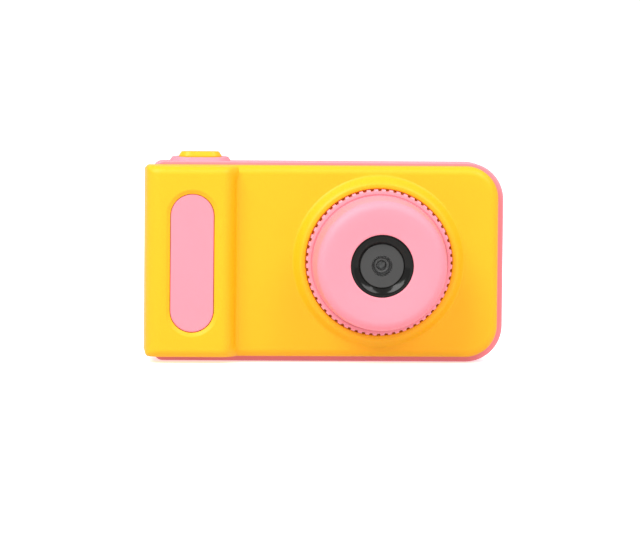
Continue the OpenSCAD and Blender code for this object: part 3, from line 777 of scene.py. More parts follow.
def makeBezel(plan, material):
    # a narrow flat rim, then a hollow that steepens down to the window
    front = faceY - bezelLow.y
    r, seenR = (bezelHigh.x - bezelLow.x) / 2, plan["windowR"] - 0.5
    hollow = [(plan["rimR"] - plan["hollowWidth"] * t, front - plan["hollowDepth"] * t ** plan["bend"])
              for t in (0.06, 0.15, 0.3, 0.45, 0.6, 0.75, 0.88, 1.0)]
    flange, end, seat = front - plan["flange"], front - plan["long"], front - plan["windowSeat"]
    profile = [(seenR, seat), (seenR, front - 1.1)] + hollow[::-1]
    profile += [(6.62, front), (r - 0.22, front), (r - 0.06, front - 0.06), (r, front - 0.22), (r, flange),
                (plan["shankR"], flange), (plan["shankR"], end), (plan["windowR"], end),
                (plan["windowR"], seat)]
    piece = turned("lensBezel", profile, segments=160)
    return settle(piece, "camera_body", "lens_bezel", material, 38)


windowPlan = {
    "raisedR": 5.04,      # the part that stands up inside the bezel
    "raise": 0.54,
}


def makeWindow(plan, material):
    low, high = boxOf("lens_window")
    r, front, rear = (high.x - low.x) / 2, faceY - low.y, faceY - high.y
    seen, top = plan["raisedR"], front + plan["raise"]
    profile = [(0, rear), (r - 0.05, rear), (r, rear + 0.05), (r, front - 0.02),
               (seen + 0.06, front - 0.02), (seen, front + 0.02), (seen, top - 0.14),
               (seen - 0.06, top - 0.04), (seen - 0.16, top), (0, top)]
    piece = turned("lensWindow", profile, segments=120)
    return settle(piece, "camera_body", "lens_window", material, 38)


barrelPlan = {
    "holeR": 0.95,
    "tubeR": 1.7,
    "steps": [(0.95, 0.6), (1.18, 0.42), (1.24, 0.25), (1.62, 0.22), (1.7, 0.4), (2.25, 0.3), (2.36, 0)],
}


def makeBarrel(plan, material):
    # a stepped front with fine rings round a small aperture; each step is (radius, depth behind the front)
    low, high = boxOf("lens_barrel")
    r, front, rear = (high.x - low.x) / 2, faceY - low.y, faceY - high.y
    behind = front - 1.2
    profile = [(radius, front - depth) for radius, depth in plan["steps"]]
    profile += [(r - 0.3, front), (r, front - 0.3), (r, rear), (plan["tubeR"], rear),
                (plan["tubeR"], behind), (plan["holeR"], behind)]
    piece = turned("lensBarrel", roundedProfile([(x, y, 0.05) for x, y in profile], 2), segments=96)
    return settle(piece, "camera_body", "lens_barrel", material, 25)


lensPlan = {
    "domeR": 0.9,
    "domeRise": 0.42,
}


def makeLens(plan, material):
    low, high = boxOf("lens_glass")
    r, front, rear, rise = (high.x - low.x) / 2, faceY - low.y, faceY - high.y, plan["domeRise"]
    dome = [(plan["domeR"] * math.cos(math.radians(a)), front - rise + rise * math.sin(math.radians(a)))
            for a in range(0, 91, 9)]
    piece = turned("lensGlass", [(0, rear), (r, rear), (r, front - rise)] + dome, segments=64)
    return settle(piece, "camera_body", "lens_glass", material, 30)


inlayPlan = {
    "thick": 1.2,
    "edge": 0.22,         # rounding of its front edge
}


def makeInlay(plan, material):
    front = faceY - inlayLow.y
    rear = front - plan["thick"]
    loops = []
    for inset, reach in ((0.1, rear), (0.0, rear + 0.1), (0.0, front - plan["edge"]), (0.05, front - 0.09),
                         (0.16, front - 0.01), (0.4, front)):
        loops.append([(x, faceY - reach, z)
                      for x, z in uprightSlot(inlayX, inlayZ, inlayW - 2 * inset, inlayL - 2 * inset, 28)])
    piece = lofted("gripInlay", loops)
    combine(piece, [rod("peg", inlayX, inlayZ + s, pegR, -rear - 0.1, inlayHigh.y - faceY, steps=20)
                    for s in (-pegReach, pegReach)], "UNION")
    return settle(piece, "camera_body", "grip_inlay", material, 38)


rearPlan = {
    "cornerR": 8.5,
    "smallCorner": 2.3,
    "edge": 2.7,          # rounding of the back's outer edge
    "frontEdge": 0.35,    # softened edge where it meets the front shell
    "topFall": 0.5,       # the top comes down this much towards the back
    "wall": 1.8,
    "opening": 0.25,      # chamfer round every opening in the back
    "fit": 0.1,           # gap round the screen's window
    "viewW": 43.0,        # what shows of the screen
    "viewH": 33.0,
    "collar": [(14.3, 9.9, -2.1), (14.0, 9.6, -0.75), (13.2, 8.8, -0.14), (13.0, 8.6, -0.03),
               (12.76, 8.36, 0.0)],  # width, depth and height below its top
    "collarHole": (10.3, 5.8),
    "bossR": 2.3,
    "headHoleR": 1.85,
    "headSeat": 17.0,     # depth at which the screws' heads rest
    "shankHoleR": 1.15,
    "pipeHoleR": 0.75,
    "micHoleR": 0.5,
    "soundHoleR": 0.55,
    "soundStep": 1.75,    # between the rings of sound holes
    "usbHole": (3.0, 7.9, 1.4),    # along Y, along Z, corner radius
    "cardHole": (1.4, 11.8, 0.3),
    "coverGap": 0.15,
    "pinHouse": ((-37.6, 13.2, 19.0), (-35.5, 16.8, 27.4)),     # corners as (x, depth, z)
    "strapPocket": ((-40.5, 14.0, 20.4), (-36.3, 17.4, 26.0)),
    "pinHoleR": 0.7,
}
collarHigh = 47.0
rearX0 = frontLow.x + 2.0
backDepth = backY - faceY
insideDepth = backDepth - rearPlan["wall"]
midZ = (windowLow.z + windowHigh.z) / 2
keyX, keyZ = centreOf("ok_key")
padR = boxOf("up_key")[1].z - keyZ - 0.5
keyTop = boxOf("ok_key")[1].y - faceY
shutterLow, shutterHigh = boxOf("shutter_button")
shutterX, shutterY = (shutterLow.x + shutterHigh.x) / 2, faceY + 11.0
coverLow, coverHigh = boxOf("port_cover")
coverW = coverHigh.y - coverLow.y - 1.6  # without its two pins
hingeX, hingeZ = (coverLow.x + coverHigh.x) / 2, 36.2
okR, smallR, keyGap, keyRib = 2.9, 2.1, 0.2, 0.8


def lyingSlot(w, d, steps=14):
    # a long round-ended outline in X and Y, round the shutter button's place
    r, reach = d / 2, (w - d) / 2
    return (arcPoints(shutterX + reach, shutterY, r, -90, 90, steps)
            + arcPoints(shutterX - reach, shutterY, r, 90, 270, steps))


def standing(name, levels):
    # a solid of lying slots at rising heights: each level is (width, depth, z)
    return lofted(name, [[(x, y, z) for x, y in lyingSlot(w, d)] for w, d, z in levels])


def quarterOutline(turn, r0, r1, gap, cornerRound=0.3, steps=14):
    # one quarter of the pad between two radii, clear of the diagonals, as (x, z)
    reach = gap * math.sqrt(2)
    points = []
    for r, way in ((r1, 1), (r0, -1)):
        # where the line z = |x| + reach meets the circle
        x = (-reach + math.sqrt(max(0.0, 2 * r * r - reach * reach))) / 2
        spread = math.degrees(math.atan2(x, x + reach)) * way
        for k in range(steps + 1):
            a = math.radians(-spread + 2 * spread * k / steps)
            points.append((r * math.sin(a), r * math.cos(a), cornerRound if k in (0, steps) else 0))
    c, s = math.cos(math.radians(turn)), math.sin(math.radians(turn))
    return [(keyX + x * c + z * s, keyZ - x * s + z * c) for x, z in roundedProfile(points, 4)]


def rearOutside(plan):
    loops = []
    edge, soft = plan["edge"], plan["frontEdge"]
    rim = rimY - faceY
    levels = [(soft * (1 - math.sin(math.radians(a))), rim + soft * (1 - math.cos(math.radians(a))))
              for a in (0, 30, 60, 90)]
    levels += [(0.0, rim + (backDepth - edge - rim) * k / 6) for k in range(1, 6)]
    levels += [(edge * (1 - math.cos(math.radians(a))), backDepth - edge * (1 - math.sin(math.radians(a))))
               for a in range(0, 91, 9)]
    for inset, depth in levels:
        drop = plan["topFall"] * (depth - rim) / (backDepth - rim)
        outline = plate(rearX0, rearHigh.x, 0, bodyH - drop, plan["smallCorner"], plan["cornerR"],
                        inset, smallSteps=10, largeSteps=24, straight=200)
        loops.append([(x, faceY + depth, z) for x, z in outline])
    return lofted("rearShell", loops)


def flared(name, outline, fromDepth, chamfer=None):
    return slab(name, outline, fromDepth, backDepth, rearPlan["opening"] if chamfer is None else chamfer)


def rectangle(cx, cz, w, h, r=0.3, steps=5):
    corners = ((-1, -1), (1, -1), (1, 1), (-1, 1))
    return roundedProfile([(cx + a * w / 2, cz + b * h / 2, r) for a, b in corners], steps)


def slotX(name, y, z, w, h, r, x0, x1, flare=0.0):
    # a rounded slot cut along X: w lies along Y, h along Z
    levels = [(x0, 0.0), (x1, 0.0)]
    if flare:
        levels = [(x0, 0.0), (x1 - flare, 0.0), (x1, flare), (x1 + 1, flare)]
    return lofted(name, [[(x, a, b) for a, b in rectangle(y, z, w + 2 * e, h + 2 * e, r + e)]
                         for x, e in levels])


def rearOpenings(plan):
    # what is cut from the back: screen, keys, screws, light pipe and microphone
    before, past = insideDepth - 1, backDepth
    cx, fit = (windowLow.x + windowHigh.x) / 2, 2 * plan["fit"]
    w, h = windowHigh.x - windowLow.x + fit, windowHigh.z - windowLow.z + fit
    cuts = [flared("screen", rectangle(cx, midZ, w, h, 1.3), windowLow.y - faceY, 0.3),
            slab("view", rectangle(cx, midZ, plan["viewW"], plan["viewH"], 0.8), before, past)]
    cuts += [flared("pad", quarterOutline(turn, 4, padR + keyGap, keyRib / 2, 0.4), before)
             for turn in (0, 90, 180, 270)]
    cuts += [flared("ok", disc(keyX, keyZ, okR + keyGap, 48), before, 0.2)]
    cuts += [flared("small", disc(*centreOf(node), smallR + keyGap, 40), before)
             for node in ("menu_key", "play_key", "power_key")]
    cuts += [rod("pipe", *centreOf("light_pipe"), plan["pipeHoleR"], before, past + 1, steps=24),
             rod("micHole", *centreOf("microphone"), plan["micHoleR"], before, past + 1, steps=20)]
    for x, z in shellSpots:
        cuts += [slab("headHole", disc(x, z, plan["headHoleR"], 32), plan["headSeat"], past, 0.2),
                 rod("shellHole", x, z, plan["shankHoleR"], splitDepth - 1, past - 1, steps=20)]
    return cuts


def soundHoles(plan, material):
    # a hole in the middle and two rings of holes round it
    x, z = centreOf("speaker")
    spots = [(x, backY, z)]
    for k in (1, 2):
        spots += [(a, backY, b) for a, b in disc(x, z, plan["soundStep"] * k, 6 * k)]
    r, flare = plan["soundHoleR"], 0.14
    levels = ((r, -3.0), (r, -flare), (r + flare, 0.0), (r + flare, 1.0))
    pin = lofted("soundHole", [[(a, y, b) for a, b in disc(0, 0, radius, 16)] for radius, y in levels])
    return copiesAt("soundHoles", pin, spots, material)


def sideOpenings(plan):
    # what is cut from the top and the sides: shutter button, sockets, cover and eyelet
    port, gap = (coverLow.y + coverHigh.y) / 2, plan["coverGap"]
    w, d = plan["collarHole"]
    flare, reach = 0.3, frontHigh.x - 3
    usb, card, pin = middleOf("usb_socket"), middleOf("card_socket"), middleOf("strap_pin")
    return [
        standing("shutterHole", [(w, d, 42), (w, d, collarHigh - flare / 2),
                                 (w + flare, d + flare, collarHigh), (w + flare, d + flare, collarHigh + 1)]),
        slotX("recess", port, (coverLow.z + coverHigh.z) / 2, coverW + 2 * gap,
              coverHigh.z - coverLow.z + 2 * gap, 0.25, coverLow.x - 0.05, rearHigh.x, gap),
        slotX("usbHole", usb[1], usb[2], *plan["usbHole"], reach, rearHigh.x),
        slotX("cardHole", card[1], card[2], *plan["cardHole"], reach, rearHigh.x),
        rod("hingeHole", hingeX, hingeZ, 0.5, port - faceY - 3.8, port - faceY + 3.8, steps=20),
        blockPiece("strapPocket", *plan["strapPocket"]),
        lofted("pinHole", [[(x, y, z) for x, y in disc(pin[0], pin[1], plan["pinHoleR"], 20)]
                           for z in (pin[2] - 4, pin[2] + 4)]),
    ]


def makeRearShell(plan, material):
    piece = rearOutside(plan)
    cavity = plate(frontLow.x + 4, frontHigh.x - 1.4, 2.7, 43.4, 0.6, plan["cornerR"] - 2.8)
    collar = standing("collar", [(w, d, collarHigh + z) for w, d, z in plan["collar"]])
    combine(piece, [collar], "UNION")
    combine(piece, [slab("cavity", cavity, rimY - faceY - 1, insideDepth)])
    solids = [rod("boss", x, z, plan["bossR"], splitDepth, insideDepth + 0.1) for x, z in shellSpots]
    combine(piece, solids + [blockPiece("pinHouse", *plan["pinHouse"])], "UNION")
    combine(piece, rearOpenings(plan))
    combine(piece, [soundHoles(plan, material)])
    combine(piece, sideOpenings(plan))
    return settle(piece, "camera_body", "rear_shell", material)


shutterPlan = {
    "width": 9.9,
    "depth": 5.4,
    "bevel": 0.5,         # how far the top steps in all round
    "flangeWide": 1.8,    # how much wider and deeper its retaining flange is
    "flangeDeep": 1.6,
    "stemR": 1.0,
}


def makeShutter(plan, material):
    top, w, d = shutterHigh.z, plan["width"], plan["depth"]
    bevel = 2 * plan["bevel"]
    edge = ((0, 0.98), (0.02, 0.92), (bevel, 0.12), (bevel + 0.14, 0.03), (bevel + 0.4, 0))
    levels = [(w, d, 46.2)] + [(w - less, d - less, top - fall) for less, fall in edge]
    piece = standing("shutterButton", levels)
    wide, deep = w + plan["flangeWide"], d + plan["flangeDeep"]
    flange = standing("shutterFlange", [(wide, deep, 42.3), (wide, deep, 43.2)])
    skirt = standing("shutterSkirt", [(w, d, 43.1), (w, d, 46.3)])
    # the stem stands over its switch and just clears it when pressed
    outline = disc(shutterX, middleOf("shutter_switch")[1], plan["stemR"], 24)
    stem = lofted("shutterStem", [[(x, y, z) for x, y in outline] for z in (shutterLow.z + 0.03, 42.4)])
    combine(piece, [flange, skirt, stem], "UNION")
    return settle(piece, "shutter", "shutter_button", material, 20)


keyPlan = {
    "round": 0.32,        # rounding of a key's top edge
    "crown": 0.12,        # how much its edge lies lower than its middle
    "markDepth": 0.32,
}


def keyBody(name, outline, flange, stem, plan):
    # a key's cap, its retaining flange and the stem to its switch
    edge, crown = plan["round"], plan["crown"]
    side = keyTop - crown - edge
    loops = [[(x, faceY + depth, z) for x, z in outline] for depth in (insideDepth - 0.2, side)]
    for a in (15, 30, 45, 60, 75, 90):
        t = math.radians(a)
        loops.append([(x, faceY + side + edge * math.sin(t), z)
                      for x, z in grown(outline, -edge * (1 - math.cos(t)))])
    cx = sum(p[0] for p in outline) / len(outline)
    cz = sum(p[1] for p in outline) / len(outline)
    last = grown(outline, -edge)
    for k in (1, 2, 3, 4):
        t = k / 5
        loops.append([(x + (cx - x) * t, faceY + side + edge + crown * (1 - (1 - t) ** 2), z + (cz - z) * t)
                      for x, z in last])
    piece = lofted(name, loops)
    parts = [slab("flange", flange, insideDepth - 0.6, insideDepth - 0.15),
             rod("stem", *stem, 0.9, 15.7, insideDepth - 0.5, steps=24)]
    combine(piece, parts, "UNION")
    return piece


def polygonTool(points, cx, cz, turn=0.0):
    c, s = math.cos(math.radians(turn)), math.sin(math.radians(turn))
    return [(cx + x * c + z * s, cz - x * s + z * c) for x, z in points]


def engrave(piece, marks, plan):
    # sinks generic symbols into a key's top
    combine(piece, [slab("mark", outline, keyTop - plan["crown"] - plan["markDepth"], keyTop + 1)
                    for outline in marks])
    return piece


def makeArrowKeys(plan, material):
    for node in ("up_key", "right_key", "down_key", "left_key"):
        # the key's own place tells which way it points
        x, z = centreOf(node)
        turn = round(math.degrees(math.atan2(x - keyX, z - keyZ)) / 90) * 90
        stem = (keyX + 6.35 * math.sin(math.radians(turn)), keyZ + 6.35 * math.cos(math.radians(turn)))
        piece = keyBody(node + "Look", quarterOutline(turn, 4 + keyGap, padR, keyRib / 2 + keyGap),
                        quarterOutline(turn, 3.75, padR + 0.5, keyRib / 2 - 0.2), stem, plan)
        arrow = roundedProfile([(0, 1.15, 0.15), (-1.1, -0.55, 0.15), (1.1, -0.55, 0.15)], 3)
        engrave(piece, [polygonTool(arrow, *stem, turn)], plan)
        settle(piece, node.split("_")[0], node, material, 34)


def makeRoundKeys(plan):
    bar = 0.34
    marks = {
        "ok_key": [disc(0, 0, 0.75, 28)],
        "menu_key": [rectangle(0, z, 1.9, bar, 0.1) for z in (-0.65, 0, 0.65)],
        "play_key": [roundedProfile([(0.95, 0, 0.12), (-0.6, 0.9, 0.12), (-0.6, -0.9, 0.12)], 3)],
        "power_key": [rectangle(0, 0.75, bar, 1.1, 0.1)],
    }
    for node, r in (("ok_key", okR), ("menu_key", smallR), ("play_key", smallR), ("power_key", smallR)):
        x, z = centreOf(node)
        piece = keyBody(node + "Look", disc(x, z, r, 56), disc(x, z, r + 0.6, 40), (x, z), plan)
        # a play mark points right for someone looking at the back
        shapes = [[(x - a, z + b) for a, b in outline] for outline in marks[node]]
        engrave(piece, shapes, plan)
        if node == "power_key":
            sides = ((1.1, range(45, 316, 10)), (1.1 - bar, range(315, 44, -10)))
            arc = [(x + q * math.sin(math.radians(a)), z + q * math.cos(math.radians(a)))
                   for q, span in sides for a in span]
            engrave(piece, [arc], plan)
        slotName = "power_plastic" if node == "power_key" else "button_plastic"
        settle(piece, node.split("_")[0], node, looks[slotName], 34)


coverPlan = {
    "corner": 0.5,
    "pinR": 0.45,
    "pinReach": 0.8,      # how far each pin stands out
    "grips": 3,           # finger grooves near the free end
    "gripStep": 1.1,
    "gripDepth": 0.18,
}


def makeCover(plan, material):
    middle = (coverLow.y + coverHigh.y) / 2
    low, x0, x1 = coverLow.z, coverLow.x, coverHigh.x
    loops = []
    for inset, x in ((0.12, x0), (0.0, x0 + 0.12), (0.0, x1 - 0.25), (0.08, x1 - 0.08), (0.28, x1)):
        outline = rectangle(middle, (low + hingeZ) / 2, coverW - 2 * inset, hingeZ - low - 2 * inset,
                            plan["corner"] - inset)
        loops.append([(x, y, z) for y, z in outline])
    piece = lofted("portCover", loops)
    depth, half = middle - faceY, coverW / 2
    reach = half + plan["pinReach"]
    barrel = rod("barrel", hingeX, hingeZ, (x1 - x0) / 2, depth - half, depth + half, steps=28)
    pin = rod("pin", hingeX, hingeZ, plan["pinR"], depth - reach, depth + reach, steps=20)
    combine(piece, [barrel, pin], "UNION")
    combine(piece, [slotX("grip", middle, low + 1.6 + plan["gripStep"] * k, 3.2, 0.5, 0.2,
                          x1 - plan["gripDepth"], x1 + 1) for k in range(plan["grips"])])
    return settle(piece, "cover", "port_cover", material, 34)


def makeScreenWindow(material):
    front, back = windowLow.y - faceY, windowHigh.y - faceY
    w, h = windowHigh.x - windowLow.x, windowHigh.z - windowLow.z
    cx = (windowLow.x + windowHigh.x) / 2
    loops = [[(x, faceY + d, z) for x, z in rectangle(cx, midZ, w - 2 * i, h - 2 * i, 1.2 - i, 8)]
             for i, d in ((0, front), (0, back - 0.2), (0.06, back - 0.07), (0.2, back))]
    piece = lofted("screenWindow", loops)
    return settle(piece, "camera_body", "screen_window", material, 34)


screwPlan = {
    "headR": 1.7,
    "headFrom": 15.6,
    "headTo": 17.0,
    "tip": 4.2,
    "shankR": 0.9,
    "turns": 22,          # half threads along the shank
}


def makeScrews(plan, node, spots, material):
    # cross-headed screws with a domed head and a threaded shank, one at each spot
    headR, headFrom, headTo, turns = plan["headR"], plan["headFrom"], plan["headTo"], plan["turns"]
    tipDepth, rodR = plan["tip"], plan["shankR"]
    shank = [(rodR if k % 2 else rodR * 0.86, tipDepth + 0.5 + (headFrom - tipDepth - 0.5) * k / turns)
             for k in range(turns + 1)]
    profile = [(0, tipDepth)] + shank + [(headR * 0.94, headFrom), (headR, headFrom + 0.12),
                                         (headR, headTo - 0.4), (headR * 0.93, headTo - 0.2),
                                         (headR * 0.7, headTo - 0.04), (headR * 0.5, headTo), (0, headTo)]
    angles = [2 * math.pi * k / 40 for k in range(40)]
    loops = [[(r * math.cos(a), y, r * math.sin(a)) for r, y in profile] for a in angles]
    tool = lofted(node + "Tool", loops, closed=True)
    arm, half, deep = headR * 0.62, 0.2, 0.5
    cross = [lofted("arm", [[(x * s, y, z * s) for x, z in ((-a, -b), (a, -b), (a, b), (-a, b))]
                            for y, s in ((headTo + 0.5, 1.15), (headTo - deep, 0.72))])
             for a, b in ((arm, half), (half, arm))]
    combine(tool, cross)
    piece = copiesAt(node + "Look", tool, [(x, faceY, z) for x, z in spots], material)
    return settle(piece, "camera_body", node, material, 30)


def newMaterial(name):
    mat = bpy.data.materials.new(name)
    mat.use_nodes = True
    tree = mat.node_tree
    shader = next(n for n in tree.nodes if n.type == "BSDF_PRINCIPLED")
    coords = tree.nodes.new("ShaderNodeTexCoord")
    return mat, tree, shader, coords.outputs["Object"]


def feed(tree, node, values):
    # each named input gets its value, or a link from another node's socket
    for key, value in values.items():
        if isinstance(value, bpy.types.NodeSocket):
            tree.links.new(value, node.inputs[key])
        else:
            node.inputs[key].default_value = value
    return node


def addNode(tree, kind, values):
    return feed(tree, tree.nodes.new(kind), values)


def noiseNode(tree, coords, scale, detail=3.0):
    return addNode(tree, "ShaderNodeTexNoise", {"Scale": scale, "Detail": detail, "Roughness": 0.55,
                                                "Vector": coords}).outputs["Fac"]


def rangeNode(tree, value, low, high, fromLow=0.0, fromHigh=1.0):
    return addNode(tree, "ShaderNodeMapRange", {"From Min": fromLow, "From Max": fromHigh, "To Min": low,
                                                "To Max": high, "Value": value}).outputs["Result"]


def mixNode(tree, factor, a, b):
    # a and b are colours or sockets
    node = tree.nodes.new("ShaderNodeMix")
    node.data_type = "RGBA"
    for side, value in (("A", a), ("B", b)):
        socket = next(s for s in node.inputs if s.name == side and s.type == "RGBA")
        if isinstance(value, (tuple, list)):
            socket.default_value = (*value, 1) if len(value) == 3 else value
        else:
            tree.links.new(value, socket)
    tree.links.new(factor, node.inputs[0])
    return next(s for s in node.outputs if s.type == "RGBA")


def bumpNode(tree, height, strength, distance, normal=None):
    node = addNode(tree, "ShaderNodeBump", {"Strength": strength, "Distance": distance, "Height": height})
    if normal:
        tree.links.new(normal, node.inputs["Normal"])
    return node.outputs["Normal"]


def mathNode(tree, operation, *values):
    node = addNode(tree, "ShaderNodeMath", dict(enumerate(values)))
    node.operation = operation
    return node.outputs[0]


def plastic(name, colour, shade=None, roughness=0.38, grain=0.05, coat=0.0, scatter=0.0, variation=0.35,
            specular=0.5):
    # moulded plastic: faint cloudiness in its colour, a fine satin grain, uneven gloss
    mat, tree, shader, coords = newMaterial(name)
    clouds = noiseNode(tree, coords, 70, 3)
    grainFine = noiseNode(tree, coords, 5200, 2)
    grainWide = noiseNode(tree, coords, 900, 4)
    factor = rangeNode(tree, clouds, 0.0, variation, 0.3, 0.7)
    soft = bumpNode(tree, grainWide, grain, 0.0001)
    feed(tree, shader, {
        "Base Color": mixNode(tree, factor, colour, shade or tuple(v * 0.9 for v in colour)),
        "Roughness": rangeNode(tree, grainWide, roughness - 0.05, roughness + 0.06, 0.3, 0.7),
        "Normal": bumpNode(tree, grainFine, grain * 1.4, 0.00003, soft),
        "Coat Weight": coat,
        "Coat Roughness": 0.25,
        "Specular IOR Level": specular,
    })
    if scatter:
        feed(tree, shader, {"Subsurface Weight": scatter, "Subsurface Radius": (1.0, 0.45, 0.3),
                            "Subsurface Scale": 0.0012})
    return mat


def metal(name, colour, roughness=0.28, brushed=False):
    # plated metal with fine scratches along X
    mat, tree, shader, coords = newMaterial(name)
    mapping = addNode(tree, "ShaderNodeMapping", {"Scale": (0.12, 1, 1) if brushed else (1, 1, 1),
                                                  "Vector": coords})
    fine = noiseNode(tree, mapping.outputs["Vector"], 2600, 4)
    patches = rangeNode(tree, noiseNode(tree, coords, 260, 3), 0, 0.5, 0.35, 0.65)
    feed(tree, shader, {
        "Base Color": mixNode(tree, patches, colour, tuple(v * 0.72 for v in colour)),
        "Roughness": rangeNode(tree, fine, roughness - 0.08, roughness + 0.14, 0.3, 0.7),
        "Metallic": 1.0,
        "Normal": bumpNode(tree, fine, 0.12, 0.00003),
    })
    return mat


def smoked(name, colour, clear=0.35, roughness=0.06):
    # tinted clear plastic with a faint haze
    mat, tree, shader, coords = newMaterial(name)
    haze = noiseNode(tree, coords, 420, 4)
    dust = noiseNode(tree, coords, 5200, 2)
    lighter = tuple(min(1, v * 1.25) for v in colour)
    feed(tree, shader, {
        "Base Color": mixNode(tree, rangeNode(tree, haze, 0, 0.4, 0.35, 0.65), colour, lighter),
        "Roughness": rangeNode(tree, haze, roughness * 0.7, roughness * 1.6, 0.3, 0.7),
        "Transmission Weight": clear,
        "IOR": 1.49,
        "Normal": bumpNode(tree, dust, 0.02, 0.00002),
    })
    return mat


def radialNode(tree, coords, stops):
    # values by distance from the lens axis in millimetres, with steps between them
    split = addNode(tree, "ShaderNodeSeparateXYZ", {0: coords})
    squares = []
    for axis, centre in (("X", lensX), ("Z", lensZ)):
        shift = mathNode(tree, "SUBTRACT", split.outputs[axis], centre * mm)
        squares.append(mathNode(tree, "MULTIPLY", shift, shift))
    distance = mathNode(tree, "SQRT", mathNode(tree, "ADD", *squares))
    reach = 6.0
    ramp = addNode(tree, "ShaderNodeValToRGB", {"Fac": rangeNode(tree, distance, 0, 1, 0, reach * mm)})
    marks = ramp.color_ramp.elements
    for k, (radius, value) in enumerate(stops):
        mark = marks[k] if k < 2 else marks.new(radius / reach)
        mark.position = radius / reach
        mark.color = (value, value, value, 1)
    return ramp.outputs["Color"]


def lensPlate(name):
    # smoked plate, painted dark behind except for a clear round in front of the lens
    mat, tree, shader, coords = newMaterial(name)
    haze = noiseNode(tree, coords, 420, 4)
    tint = radialNode(tree, coords, [(0.0, 0.02), (2.2, 0.02), (2.5, 0.045), (5.6, 0.047)])
    feed(tree, shader, {
        "Base Color": mixNode(tree, rangeNode(tree, haze, 0, 0.25, 0.35, 0.65), tint, (0.06, 0.06, 0.058)),
        "Alpha": radialNode(tree, coords, [(0.0, 0.3), (2.15, 0.3), (2.45, 1.0), (5.6, 1.0)]),
        "Roughness": rangeNode(tree, haze, 0.07, 0.16, 0.3, 0.7),
        "Specular IOR Level": 0.35,
    })
    return mat


def barrelMaterial(name):
    # moulded black, coloured by radius: a painted highlight in the middle, painted shade on the recessed rings
    # and one lighter ring between them
    mat, tree, shader, coords = newMaterial(name)
    grain = noiseNode(tree, coords, 1500, 3)
    # stops by radius in mm: 0.9 is the painted highlight in the middle, 0.1 and 0.12 the painted shade on the
    # recessed steps, 0.6 the lighter ring
    rings = radialNode(tree, coords, [(0.0, 0.9), (0.8, 0.9), (0.86, 0.1), (1.2, 0.1), (1.28, 0.6),
                                      (1.6, 0.6), (1.7, 0.12), (2.3, 0.1), (2.4, 0.2)])
    feed(tree, shader, {
        "Base Color": mixNode(tree, rangeNode(tree, grain, 0, 0.2, 0.3, 0.7), rings, (0.05, 0.05, 0.05)),
        "Roughness": rangeNode(tree, grain, 0.3, 0.5, 0.3, 0.7),
        "Normal": bumpNode(tree, grain, 0.1, 0.00003),
    })
    return mat


def foamMaterial(name, colour):
    mat, tree, shader, coords = newMaterial(name)
    cells = addNode(tree, "ShaderNodeTexVoronoi", {"Scale": 2200, "Vector": coords}).outputs["Distance"]
    feed(tree, shader, {
        "Base Color": mixNode(tree, cells, tuple(v * 0.5 for v in colour), colour),
        "Roughness": 0.95,
        "Normal": bumpNode(tree, cells, 0.6, 0.0002),
    })
    return mat


def boardMaterial(name):
    # solder mask with faint copper tracks beneath it
    mat, tree, shader, coords = newMaterial(name)
    mapping = addNode(tree, "ShaderNodeMapping", {"Rotation": (math.pi / 2, 0, 0), "Vector": coords})
    tracks = addNode(tree, "ShaderNodeTexBrick", {"Scale": 420, "Mortar Size": 0.04,
                                                  "Vector": mapping.outputs["Vector"]}).outputs["Fac"]
    grain = noiseNode(tree, coords, 900, 3)
    feed(tree, shader, {
        "Base Color": mixNode(tree, rangeNode(tree, tracks, 0.0, 0.6), (0.012, 0.085, 0.035),
                              (0.03, 0.16, 0.06)),
        "Roughness": rangeNode(tree, grain, 0.3, 0.5, 0.3, 0.7),
        "Normal": bumpNode(tree, tracks, 0.3, 0.00004),
    })
    return mat


